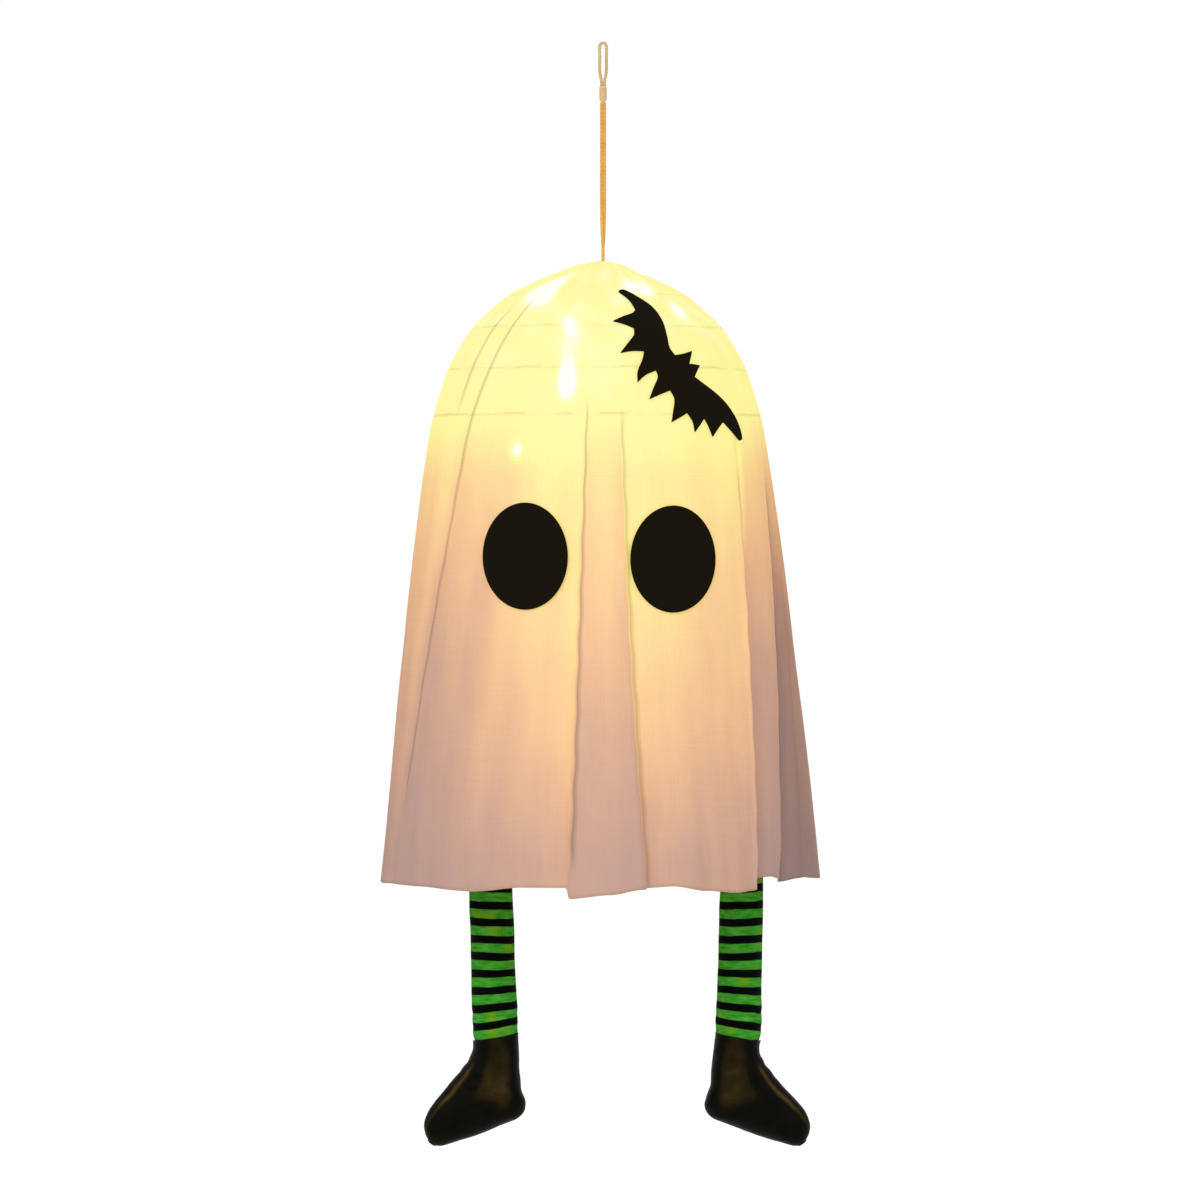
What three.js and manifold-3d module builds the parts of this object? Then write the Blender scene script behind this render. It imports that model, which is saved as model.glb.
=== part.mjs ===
import * as THREE from "three";
import { mergeVertices } from "three/addons/utils/BufferGeometryUtils.js";
import Module from "manifold-3d";

// Hanging ghost decoration: a sheet over a round paper lantern, with two stuffed legs.
// Millimetres, +Z up, the face looks along -Y.
// The origin is the inside top of the hanging loop, where it bears on a hook.

// Fit between pieces
const CLEARANCE = 0.3;

// Hanging cord
const CORD_DIAMETER = 2.6;
const LOOP_HALF_WIDTH = 2.6;
const LOOP_DROP = 33;
const BINDING_DIAMETER = 6;
const BINDING_LENGTH = 12.6;

// Paper lantern
const LANTERN_DIAMETER = 250;
const LANTERN_DROP = 304;
const LANTERN_SIDE = -4.7;
const RING_PITCH_DEGREES = 17.1;
const RING_WIRE = 2.4;
const RIB_WIRE = 2;
const RIB_COUNT = 7;
const PAPER_THICKNESS = 0.6;
const PAPER_SIDES = 24;
const EXPANDER_WIRE = 2.4;
const EXPANDER_RISE = 6.5;

// Sheet
const CLOTH_THICKNESS = 0.8;
const CLOTH_EASE = 0.9;
const CLOTH_HOLE_RADIUS = 5;
const CLOTH_TENT_RISE = 11.4;
const CLOTH_WAIST_EASE = 2.4;
const SKIRT_LENGTH = 355;
const SKIRT_FLARE = 44;
const HEM_SIDE = -1.8;

// Felt patches
const FELT_THICKNESS = 1.5;
const EYE_WIDTH = 72;
const EYE_HEIGHT = 82.5;
const EYE_BELOW = 101;
const LEFT_EYE_AZIMUTH = -23.2;
const RIGHT_EYE_AZIMUTH = 24.4;
const BAT_AZIMUTH = 32.3;
const BAT_POLAR = 69.1;
const BAT_TURN = 56.6;
const BAT_SCALE = 0.98;

// Legs
const LEG_TOP_BELOW = 261;
const STOCKING_LENGTH = 218;
const STOCKING_TOP_RADIUS = 16;
const ANKLE_RADIUS = 18;
const LEG_FABRIC = 1;
const LEFT_ANKLE_X = -84.9;
const RIGHT_ANKLE_X = 106.9;
const LEFT_LEG_LEAN = -7.3;
const RIGHT_LEG_LEAN = 5.1;
const LEG_CORD_DIAMETER = 2;
const TAB_DIAMETER = 1.8;
const TAB_LENGTH = 12;

// Light string
const STRING_WIRE = 1.2;
const BEAD_DIAMETER = 4;
const STRING_TURNS = 5;
const STRING_DEPTH = 88;

// Battery case
const CASE_WIDTH = 42;
const CASE_DEPTH = 13;
const CASE_HEIGHT = 28;
const COIN_DIAMETER = 20;
const COIN_THICKNESS = 3.2;
const SWITCH_TRAVEL = 2;

// Columns of the sheet round the body from the back, by the left side, the front and the
// right side: [azimuth at the waist, azimuth at the hem, inset at the hem, hem lift]
const COLUMNS = [
  [-174, -174, 3, 0],
  [-160, -160, 12, 1],
  [-147, -148, 0, 0],
  [-134, -134, 14, 2],
  [-121, -121, 0, -1],
  [-108, -109, 9, 1],
  [-95, -96, 0, 0],
  [-80, -88, 0, -2],
  [-64, -82, 1, -2],
  [-49, -78, 9, -2],
  [-42, -71, 2, -1],
  [-31, -53, 0, -1],
  [-20, -35, 0, -3],
  [-11, -20, 1, 1],
  [-4.8, -9, 3, 1],
  [-3.6, -7.6, -5, -4],
  [2.5, 2, -6, -5],
  [7, 11, -5, -1],
  [8.2, 12.3, 3, 1],
  [14, 19, 1, 2],
  [25, 28, 0, -2],
  [37, 37, 0, -4],
  [48, 43, 0, -3],
  [55, 45.5, -2, -2],
  [57, 47.5, 9, 6],
  [66, 55, 2, 7],
  [76, 62.5, 9, 5],
  [80, 67, 1, 4],
  [84, 74, 8, 3],
  [92, 84, 0, 2],
  [101, 97, 0, 1],
  [112, 110, 10, 2],
  [124, 123, 0, 0],
  [136, 136, 14, 2],
  [149, 149, 0, -1],
  [162, 162, 12, 1],
  [173, 173, 2, 0],
];

// Half outline of the bat on the flat: [out from the middle, upper edge, lower edge]
const BAT_OUTLINE = [
  [0, -10.8, 39.2],
  [5.9, -20.3, 23],
  [12, -5.2, 20.4],
  [20.5, -9.6, 36.3],
  [31.5, -16.8, 16.9],
  [42.2, -22.8, 25.9],
  [44.6, -23.6, 7],
  [52, -25, 3],
  [60.3, -25.8, 9.9],
  [61.3, -25.9, -11],
  [68, -26.3, -18],
  [79.1, -22, -21],
];

// Boot sections from ankle to toe, from the ankle's middle, for a toe to the left:
// [instep x, instep z, sole x, sole z, half depth]
const BOOT_SECTIONS = [
  [-17.9, -1, 17.9, -1, 18],
  [-18.6, -10.7, 19, -18.6, 18],
  [-23.3, -21, 20.1, -40, 18.5],
  [-32, -32.1, 24, -54.2, 19],
  [-39.9, -41.6, 18.6, -64.5, 19],
  [-47, -50.2, 2, -71.6, 18],
  [-53.3, -59.7, -16.2, -79.1, 16],
  [-56.5, -69.2, -34.4, -85.4, 12],
  [-56.2, -80, -46, -87.4, 6],
];

const wasm = await Module();
wasm.setup();

const ghost = new THREE.Group();
const rad = THREE.MathUtils.degToRad;
const vec = (x, y, z) => new THREE.Vector3(x, y, z);

const FINISH = {
  twine: { color: "#C79F5E", roughness: 0.9 },
  binding: { color: "#E3C18B", roughness: 0.85 },
  cloth: { color: "#F2E4D4", roughness: 0.9 },
  felt: { color: "#16140C", roughness: 1 },
  paper: { color: "#FBF3DC", roughness: 0.85 },
  wire: { color: "#B9BCC0", roughness: 0.35, metalness: 1 },
  stripe: { color: "#3F8F25", roughness: 0.85 },
  boot: { color: "#15130A", roughness: 0.45 },
  filling: { color: "#F4F2EC", roughness: 1 },
  copper: { color: "#C98A55", roughness: 0.4, metalness: 1 },
  plastic: { color: "#EDEDEA", roughness: 0.5 },
  coin: { color: "#C9CBCD", roughness: 0.3, metalness: 1 },
  brass: { color: "#C7A252", roughness: 0.35, metalness: 1 },
  tie: { color: "#F1F0EA", roughness: 0.55 },
};

function add(name, geometry, finish) {
  const mesh = new THREE.Mesh(geometry, new THREE.MeshStandardMaterial(FINISH[finish]));
  mesh.name = name;
  ghost.add(mesh);
  return mesh;
}

// Closed surface from triangles given as corners, turned to face out
function solidFrom(corners) {
  let volume = 0;
  for (let i = 0; i < corners.length; i += 3) {
    const [a, b, c] = [corners[i], corners[i + 1], corners[i + 2]];
    volume += a.dot(b.clone().cross(c)) / 6;
  }
  const numbers = [];
  for (let i = 0; i < corners.length; i += 3) {
    const order = volume < 0 ? [0, 2, 1] : [0, 1, 2];
    for (const k of order) numbers.push(...corners[i + k].toArray());
  }
  const geometry = new THREE.BufferGeometry();
  geometry.setAttribute("position", new THREE.Float32BufferAttribute(numbers, 3));
  return geometry;
}

function band(corners, lower, upper) {
  const n = lower.length;
  for (let i = 0; i < n; i++) {
    const j = (i + 1) % n;
    corners.push(lower[i], lower[j], upper[j], lower[i], upper[j], upper[i]);
  }
}

// Skin over rings of equal count: joined end to end, or closed by a point at each end
function skin(rings, startPoint, endPoint) {
  const corners = [];
  for (let k = 0; k + 1 < rings.length; k++) band(corners, rings[k], rings[k + 1]);
  const last = rings[rings.length - 1];
  if (!startPoint) {
    band(corners, last, rings[0]);
    return solidFrom(corners);
  }
  const n = last.length;
  for (let i = 0; i < n; i++) {
    const j = (i + 1) % n;
    corners.push(startPoint, rings[0][j], rings[0][i]);
    corners.push(endPoint, last[i], last[j]);
  }
  return solidFrom(corners);
}

// Plate between two equal grids of points, rows by columns
function plate(outer, inner) {
  const corners = [];
  const rows = outer.length;
  const cols = outer[0].length;
  const quad = (a, b, c, d) => corners.push(a, b, c, a, c, d);
  for (let i = 0; i + 1 < rows; i++) {
    for (let j = 0; j + 1 < cols; j++) {
      quad(outer[i][j], outer[i][j + 1], outer[i + 1][j + 1], outer[i + 1][j]);
      quad(inner[i][j], inner[i + 1][j], inner[i + 1][j + 1], inner[i][j + 1]);
    }
  }
  for (let j = 0; j + 1 < cols; j++) {
    quad(outer[0][j + 1], outer[0][j], inner[0][j], inner[0][j + 1]);
    const e = rows - 1;
    quad(outer[e][j], outer[e][j + 1], inner[e][j + 1], inner[e][j]);
  }
  for (let i = 0; i + 1 < rows; i++) {
    quad(outer[i][0], outer[i + 1][0], inner[i + 1][0], inner[i][0]);
    const e = cols - 1;
    quad(outer[i + 1][e], outer[i][e], inner[i][e], inner[i + 1][e]);
  }
  return solidFrom(corners);
}

// Round wire through points with its own radius at each, open with flat ends or closed
function wire(points, radii, sides, closed) {
  const n = points.length;
  const rings = [];
  let normal = null;
  for (let k = 0; k < n; k++) {
    const before = closed ? points[(k + n - 1) % n] : points[Math.max(k - 1, 0)];
    const after = closed ? points[(k + 1) % n] : points[Math.min(k + 1, n - 1)];
    const tangent = after.clone().sub(before).normalize();
    if (!normal) {
      const helper = Math.abs(tangent.y) < 0.9 ? vec(0, 1, 0) : vec(1, 0, 0);
      normal = helper.sub(tangent.clone().multiplyScalar(helper.dot(tangent)));
    } else {
      normal = normal.sub(tangent.clone().multiplyScalar(normal.dot(tangent)));
    }
    normal.normalize();
    const side = tangent.clone().cross(normal);
    const ring = [];
    for (let i = 0; i < sides; i++) {
      const a = (2 * Math.PI * (i + 0.5)) / sides;
      const r = Array.isArray(radii) ? radii[k] : radii;
      const out = normal.clone().multiplyScalar(r * Math.cos(a));
      ring.push(points[k].clone().add(out).addScaledVector(side, r * Math.sin(a)));
    }
    normal = normal.clone();
    rings.push(ring);
  }
  return closed ? skin(rings) : skin(rings, points[0].clone(), points[n - 1].clone());
}

// Cord with a round section along a smooth curve
function cord(points, diameter, steps) {
  const section = new THREE.Shape();
  section.absarc(0, 0, diameter / 2, 0, 2 * Math.PI);
  const outline = section.getPoints(8).slice(0, 8);
  const path = new THREE.CatmullRomCurve3(points, false, "centripetal");
  return new THREE.ExtrudeGeometry(new THREE.Shape(outline), { steps, extrudePath: path });
}

// Closed loop with two straight sides in the plane of two directions
function linkLoop(top, bottom, halfWidth, across, radius, sides) {
  const points = [];
  const arc = (centre, from) => {
    for (let k = 0; k <= 4; k++) {
      const a = from + (Math.PI * k) / 4;
      const p = centre.clone().addScaledVector(across, halfWidth * Math.cos(a));
      p.z += halfWidth * Math.sin(a);
      points.push(p);
    }
  };
  arc(top, 0);
  arc(bottom, Math.PI);
  return wire(points, radius, sides, true);
}

function box(width, depth, height, x, y, z) {
  return new THREE.BoxGeometry(width, depth, height).translate(x, y, z);
}

function disc(radius, height, sides, axis) {
  const geometry = new THREE.CylinderGeometry(radius, radius, height, sides);
  if (axis === "z") geometry.rotateX(Math.PI / 2);
  return geometry;
}

function toManifold(geometry) {
  const bare = geometry.clone();
  bare.deleteAttribute("normal");
  bare.deleteAttribute("uv");
  const merged = mergeVertices(bare, 1e-4);
  return new wasm.Manifold(
    new wasm.Mesh({
      numProp: 3,
      vertProperties: merged.attributes.position.array,
      triVerts: new Uint32Array(merged.index.array),
    }),
  );
}

function fromManifold(solid) {
  const mesh = solid.getMesh();
  const geometry = new THREE.BufferGeometry();
  const places = new THREE.BufferAttribute(new Float32Array(mesh.vertProperties), 3);
  geometry.setAttribute("position", places);
  geometry.setIndex(Array.from(mesh.triVerts));
  return geometry;
}

// One body joined from some shapes and cut by others
function shaped(joined, cuts) {
  let solid = toManifold(joined[0]);
  for (const shape of joined.slice(1)) solid = solid.add(toManifold(shape));
  for (const shape of cuts) solid = solid.subtract(toManifold(shape));
  return fromManifold(solid);
}

// Derived places of the lantern's rings: ring 1 is the top ring, the last the bottom ring
const lanternRadius = LANTERN_DIAMETER / 2;
const lanternZ = -LANTERN_DROP;
function ringPlace(ring, wireDiameter) {
  const polar = rad(RING_PITCH_DEGREES * ring);
  const reach = lanternRadius - PAPER_THICKNESS - CLEARANCE - wireDiameter / 2;
  return { r: reach * Math.sin(polar), z: lanternZ + reach * Math.cos(polar) };
}
const topRing = ringPlace(1, RING_WIRE);
const bottomRing = ringPlace(RIB_COUNT + 2, RING_WIRE);
const peakZ = topRing.z + EXPANDER_RISE;

// The sheet's outside: a dome over the lantern that flares below the waist
const domeRadius = lanternRadius + CLEARANCE + CLOTH_EASE + CLOTH_THICKNESS;
const shoulderH = domeRadius * Math.cos(rad(4 * RING_PITCH_DEGREES));
const waistH = domeRadius * Math.cos(rad(5 * RING_PITCH_DEGREES));
const hemH = -SKIRT_LENGTH;
const waistRadius = domeRadius + CLOTH_WAIST_EASE;

function profile(h) {
  const sphere = (v) => Math.sqrt(Math.max(domeRadius ** 2 - v ** 2, 0));
  if (h >= shoulderH) return sphere(h);
  if (h >= waistH) {
    const t = (shoulderH - h) / (shoulderH - waistH);
    return sphere(h) + (waistRadius - sphere(waistH)) * t ** 2;
  }
  return waistRadius + SKIRT_FLARE * ((waistH - h) / (waistH - hemH)) ** 0.82;
}

// A point at an azimuth and height on the sheet, moved out along the surface's normal
function onSheet(azimuth, h, out, inset) {
  const slope = profile(h - 0.5) - profile(h + 0.5);
  const length = Math.hypot(1, slope);
  const fall = Math.min(Math.max((waistH - h) / (waistH - hemH), 0), 1.1);
  const r = profile(h) - inset * fall ** 0.85 + out / length;
  const a = rad(azimuth);
  const x = LANTERN_SIDE + (HEM_SIDE - LANTERN_SIDE) * fall + r * Math.sin(a);
  return vec(x, -r * Math.cos(a), lanternZ + h + (out * slope) / length);
}

function hangingCord() {
  const r = CORD_DIAMETER / 2;
  const w = LOOP_HALF_WIDTH;
  const bindingTop = -LOOP_DROP;
  const foot = bindingTop + CLEARANCE;
  const near = r + CLEARANCE / 2;
  const loop = [
    vec(-near, 0, foot),
    vec(-near, 0, foot + 3),
    vec(-w, 0, foot + 12),
    vec(-w, 0, foot + 22),
    vec(-w, 0, r - w),
    vec(-w * 0.71, 0, r - w * 0.29),
    vec(0, 0, r),
    vec(w * 0.71, 0, r - w * 0.29),
    vec(w, 0, r - w),
    vec(w, 0, foot + 22),
    vec(w, 0, foot + 12),
    vec(near, 0, foot + 3),
    vec(near, 0, foot),
  ];
  add("hanging_loop", cord(loop, CORD_DIAMETER, 44), "twine");

  const br = BINDING_DIAMETER / 2;
  const pivotZ = bindingTop - BINDING_LENGTH + br;
  const outline = [new THREE.Vector2(0, pivotZ - br)];
  for (let k = 1; k <= 5; k++) {
    const a = (Math.PI / 2) * (k / 5);
    outline.push(new THREE.Vector2(br * Math.sin(a), pivotZ - br * Math.cos(a)));
  }
  outline.push(new THREE.Vector2(br, bindingTop - 0.8));
  outline.push(new THREE.Vector2(br - 0.8, bindingTop));
  outline.push(new THREE.Vector2(0, bindingTop));
  const binding = new THREE.LatheGeometry(outline, 20).rotateX(Math.PI / 2);
  add("loop_binding", binding, "binding");

  const start = pivotZ - br - CLEARANCE;
  const span = start - peakZ;
  const seat = peakZ - EXPANDER_WIRE / 2 - CLEARANCE - r - 0.2;
  const down = (side) => [
    vec(side * near, 0, start),
    vec(side * near, 0, start - span * 0.3),
    vec(side * near, 0, start - span * 0.6),
    vec(side * near * 0.75, side * near * 0.75, start - span * 0.74),
    vec(0, side * near, start - span * 0.86),
    vec(0, side * (near + 0.1), peakZ + 9),
    vec(0, side * 3.3, peakZ + 3),
    vec(0, side * 3.3, peakZ - 0.4),
  ];
  const route = [...down(1), vec(0, 0, seat), ...down(-1).reverse()];
  add("lower_cord", cord(route, CORD_DIAMETER, 80), "twine");
}

function lantern() {
  const paper = [];
  for (const [reach, from, to, step] of [
    [lanternRadius, 1, RIB_COUNT + 2, 1],
    [lanternRadius - PAPER_THICKNESS, RIB_COUNT + 2, 1, -1],
  ]) {
    for (let k = from; k !== to + step; k += step) {
      const polar = rad(RING_PITCH_DEGREES * k);
      const ring = [];
      for (let i = 0; i < PAPER_SIDES; i++) {
        const a = (2 * Math.PI * i) / PAPER_SIDES;
        const r = reach * Math.sin(polar);
        const z = lanternZ + reach * Math.cos(polar);
        ring.push(vec(LANTERN_SIDE + r * Math.cos(a), r * Math.sin(a), z));
      }
      paper.push(ring);
    }
  }
  const slot = 3 * LEG_CORD_DIAMETER + RIB_WIRE;
  const slotTop = slot / 2 + CLEARANCE;
  const slotHeight = slot + 3 * LEG_CORD_DIAMETER;
  const cuts = [];
  for (const [side, ring] of [[-1, 8], [1, 7]]) {
    const rib = ringPlace(ring, RIB_WIRE);
    const x = LANTERN_SIDE + side * (rib.r + 1);
    const z = rib.z + slotTop - slotHeight / 2;
    cuts.push(box(slot + 4, LEG_CORD_DIAMETER * 2.2, slotHeight, x, 0, z));
  }
  add("lantern_paper", shaped([skin(paper)], cuts), "paper");

  const hoop = (name, ring, diameter) => {
    const { r, z } = ringPlace(ring, diameter);
    const torus = new THREE.TorusGeometry(r, diameter / 2, 5, PAPER_SIDES);
    add(name, torus.translate(LANTERN_SIDE, 0, z), "wire");
  };
  hoop("top_ring", 1, RING_WIRE);
  for (let k = 1; k <= RIB_COUNT; k++) hoop(`rib_${k}`, k + 1, RIB_WIRE);
  hoop("bottom_ring", RIB_COUNT + 2, RING_WIRE);
}

// The wire frame that holds the lantern open: peak at the cord, feet on the bottom ring
const ringGap = (RING_WIRE + EXPANDER_WIRE) / 2 + CLEARANCE;
const barZ = bottomRing.z + ringGap;
const footX = bottomRing.r + 3;
const shoulderX = topRing.r + 6;

function expander() {
  const bend = 4;
  const slope = EXPANDER_RISE / (topRing.r - 6) + 0.12;
  const under = topRing.z - ringGap * Math.hypot(1, slope);
  const shoulderZ = under - (shoulderX - topRing.r) * slope;
  const left = LANTERN_SIDE;
  const crown = (x) => under + (topRing.r - x) * slope;
  const corner = (at, from, to) => {
    const a = at.clone().add(from.clone().sub(at).setLength(bend));
    const b = at.clone().add(to.clone().sub(at).setLength(bend));
    return new THREE.QuadraticBezierCurve3(a, at, b).getPoints(3);
  };
  const rightShoulder = vec(left + shoulderX, 0, shoulderZ);
  const leftShoulder = vec(left - shoulderX, 0, shoulderZ);
  const rightFoot = vec(left + footX, 0, barZ);
  const leftFoot = vec(left - footX, 0, barZ);
  const rightEave = vec(left + topRing.r - 4, 0, crown(topRing.r - 4));
  const leftEave = vec(left - topRing.r + 4, 0, crown(topRing.r - 4));
  const points = [
    vec(-4, 0, peakZ - 0.9),
    vec(-1.6, 0, peakZ - 0.1),
    vec(1.6, 0, peakZ - 0.1),
    vec(4, 0, peakZ - 0.9),
    rightEave,
    ...corner(rightShoulder, rightEave, rightFoot),
    ...corner(rightFoot, rightShoulder, leftFoot),
    ...corner(leftFoot, rightFoot, leftShoulder),
    ...corner(leftShoulder, leftFoot, leftEave),
    leftEave,
  ];
  add("expander_wire", wire(points, EXPANDER_WIRE / 2, 6, true), "wire");
}

function sheet() {
  const skirt = [0.1, 0.2, 0.31, 0.43, 0.56, 0.7, 0.85, 1];
  const surface = (out) => {
    const rings = [];
    const tent = (radius, rise) => {
      const edge = domeRadius * Math.cos(rad(RING_PITCH_DEGREES));
      rings.push(
        COLUMNS.map(([azimuth]) => {
          const a = rad(azimuth);
          const x = LANTERN_SIDE * Math.min(radius / 30, 1) + radius * Math.sin(a);
          return vec(x, -radius * Math.cos(a), lanternZ + edge + rise + out);
        }),
      );
    };
    tent(CLOTH_HOLE_RADIUS, CLOTH_TENT_RISE);
    tent(topRing.r * 0.54, CLOTH_TENT_RISE * 0.72);
    for (let k = 1; k <= 5; k++) {
      const h = domeRadius * Math.cos(rad(RING_PITCH_DEGREES * k));
      rings.push(COLUMNS.map(([azimuth]) => onSheet(azimuth, h, out, 0)));
    }
    for (const s of skirt) {
      const ring = COLUMNS.map(([top, hem, inset, lift]) => {
        const h = waistH + (hemH + lift - waistH) * s;
        const point = onSheet(top + (hem - top) * s, h, out, inset);
        point.z = lanternZ + h;
        return point;
      });
      rings.push(ring);
    }
    return rings;
  };
  const rings = [...surface(0), ...surface(-CLOTH_THICKNESS).reverse()];
  add("ghost_cloth", skin(rings), "cloth");
}

function eye(name, azimuth) {
  const h = -EYE_BELOW;
  const radius = profile(h) + FELT_THICKNESS;
  const turn = THREE.MathUtils.radToDeg(EYE_WIDTH / 2 / radius);
  const gap = CLEARANCE + 0.2;
  const layer = (out) => {
    const rings = [];
    for (const s of [1 / 3, 2 / 3, 1]) {
      const ring = [];
      for (let i = 0; i < 24; i++) {
        const a = (2 * Math.PI * i) / 24;
        const up = (EYE_HEIGHT / 2) * s * Math.sin(a);
        ring.push(onSheet(azimuth + turn * s * Math.cos(a), h + up, out, 0));
      }
      rings.push(ring);
    }
    return rings;
  };
  const rings = [...layer(gap + FELT_THICKNESS), ...layer(gap).reverse()];
  const front = onSheet(azimuth, h, gap + FELT_THICKNESS, 0);
  add(name, skin(rings, front, onSheet(azimuth, h, gap, 0)), "felt");
}

function bat() {
  const [az, polar, turn] = [rad(BAT_AZIMUTH), rad(BAT_POLAR), rad(BAT_TURN)];
  const flat = Math.sin(polar);
  const middle = vec(flat * Math.sin(az), -flat * Math.cos(az), Math.cos(polar));
  const east = vec(Math.cos(az), Math.sin(az), 0);
  const south = east.clone().cross(middle).normalize();
  if (south.z > 0) south.negate();
  const along = east.clone().multiplyScalar(Math.cos(turn));
  along.addScaledVector(south, Math.sin(turn));
  const across = east.clone().multiplyScalar(-Math.sin(turn));
  across.addScaledVector(south, Math.cos(turn));
  const place = (a, b, out) => {
    const reach = Math.max(Math.hypot(a, b), 1e-6);
    const angle = (reach * BAT_SCALE) / domeRadius;
    const way = along.clone().multiplyScalar(a / reach).addScaledVector(across, b / reach);
    const d = middle.clone().multiplyScalar(Math.cos(angle)).addScaledVector(way, Math.sin(angle));
    const azimuth = THREE.MathUtils.radToDeg(Math.atan2(d.x, -d.y));
    return onSheet(azimuth, domeRadius * d.z, out, 0);
  };
  const half = BAT_OUTLINE;
  const stations = [
    ...half.slice(1).reverse().map(([a, upper, lower]) => [-a, upper, lower]),
    ...half,
  ];
  const gap = CLEARANCE + 0.2;
  const layer = (out) =>
    stations.map(([a, upper, lower]) =>
      [0, 0.25, 0.5, 0.75, 1].map((s) => place(a, upper + (lower - upper) * s, out)),
    );
  add("bat_patch", plate(layer(gap + FELT_THICKNESS), layer(gap)), "felt");
}

// Ring of an ellipse whose long half-axis lies in the x-z plane
function oval(centre, half, depth, inward, count) {
  const length = Math.hypot(half.x, half.z);
  const scale = Math.max(length - inward, 0.5) / length;
  const ring = [];
  for (let i = 0; i < count; i++) {
    const a = (2 * Math.PI * i) / count;
    const p = centre.clone().addScaledVector(half, scale * Math.cos(a));
    p.y += Math.max(depth - inward, 0.5) * Math.sin(a);
    ring.push(p);
  }
  return ring;
}

function leg(side, ankleX, lean, ring) {
  const name = side < 0 ? "left" : "right";
  const topZ = lanternZ - LEG_TOP_BELOW;
  const ankleZ = topZ - STOCKING_LENGTH;
  const topX = ankleX + lean;
  const along = (s) => vec(topX + (ankleX - topX) * s, 0, topZ + (ankleZ - topZ) * s);
  const fullness = [
    [0.0, 0.55],
    [0.02, 0.82],
    [0.06, 0.98],
    [0.2, 1.02],
    [0.38, 0.99],
    [0.55, 1.03],
    [0.74, 0.99],
    [0.9, 1.02],
    [1, 1],
  ];
  const stocking = (s, k, inward, count) => {
    const r = (STOCKING_TOP_RADIUS + (ANKLE_RADIUS - STOCKING_TOP_RADIUS) * s) * k;
    return oval(along(s), vec(r, 0, 0), r, inward, count);
  };
  const seam = CLEARANCE / STOCKING_LENGTH / 2;
  const sides = 16;
  const outer = fullness.map(([s, k]) => stocking(s === 1 ? 1 - seam : s, k, 0, sides));
  const inner = fullness.map(([s, k]) => {
    const dip = s === 0 ? LEG_FABRIC / STOCKING_LENGTH : 0;
    return stocking(s === 1 ? 1 - seam : Math.max(s, dip), k, LEG_FABRIC, sides);
  });
  const innerTop = along(LEG_FABRIC / STOCKING_LENGTH);
  const tube = skin([...outer, ...inner.reverse()], along(0), innerTop);
  add(`${name}_stocking`, tube, "stripe");

  const ankle = vec(ankleX, 0, ankleZ);
  const bootRings = (inward, count) =>
    BOOT_SECTIONS.map(([ix, iz, sx, sz, depth], k) => {
      const flip = -side;
      const a = vec(ix * flip, 0, iz);
      const b = vec(sx * flip, 0, sz);
      const centre = a.clone().add(b).multiplyScalar(0.5).add(ankle);
      if (k === 0) centre.z = ankleZ - CLEARANCE / 2;
      const half = b.sub(a).multiplyScalar(0.5 * flip);
      if (k === 0) half.z = 0;
      return oval(centre, half, depth, inward, count);
    });
  const toe = (inward) => {
    const [ix, iz, sx, sz] = BOOT_SECTIONS[BOOT_SECTIONS.length - 1];
    const middle = vec((-side * (ix + sx)) / 2, 0, (iz + sz) / 2);
    const away = vec(-side * -1.9, 0, -2.2).setLength(3 - inward);
    return middle.add(away).add(ankle);
  };
  const shell = [...bootRings(0, sides).reverse(), ...bootRings(LEG_FABRIC, sides)];
  add(`${name}_boot`, skin(shell, toe(0), toe(LEG_FABRIC)), "boot");

  const inside = LEG_FABRIC + CLEARANCE;
  const filling = fullness.slice(1, -1).map(([s, k]) => stocking(s, k, inside, sides));
  filling.push(...bootRings(inside, sides).slice(0, -1));
  const top = along(0.012);
  const lastBoot = bootRings(inside + 2, sides).slice(-1)[0];
  const end = lastBoot.reduce((sum, p) => sum.add(p), vec(0, 0, 0));
  add(`${name}_stuffing`, skin(filling, top, end.multiplyScalar(1 / sides)), "filling");

  const r = LEG_CORD_DIAMETER / 2;
  const hw = RIB_WIRE / 2 + CLEARANCE + r;
  const rib = ringPlace(ring, RIB_WIRE);
  const hook = vec(LANTERN_SIDE + side * rib.r, 0, rib.z);
  const tabRadius = r + CLEARANCE + TAB_DIAMETER / 2;
  const link = along(0).add(vec(0, 0, TAB_LENGTH - tabRadius));
  const bottom = link.clone().add(vec(0, 0, hw));
  const hanger = linkLoop(hook, bottom, hw, vec(1, 0, 0), r, 8);
  add(`${name}_leg_cord`, hanger, "twine");

  const tr = TAB_DIAMETER / 2;
  const tab = [];
  const foot = topZ + CLEARANCE;
  tab.push(vec(link.x, -tabRadius, foot));
  for (let k = 0; k <= 8; k++) {
    const a = Math.PI - (Math.PI * k) / 8;
    tab.push(vec(link.x, tabRadius * Math.cos(a), link.z + tabRadius * Math.sin(a)));
  }
  tab.push(vec(link.x, tabRadius, foot));
  add(`${name}_leg_tab`, wire(tab, tr, 6, false), "binding");
}

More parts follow.
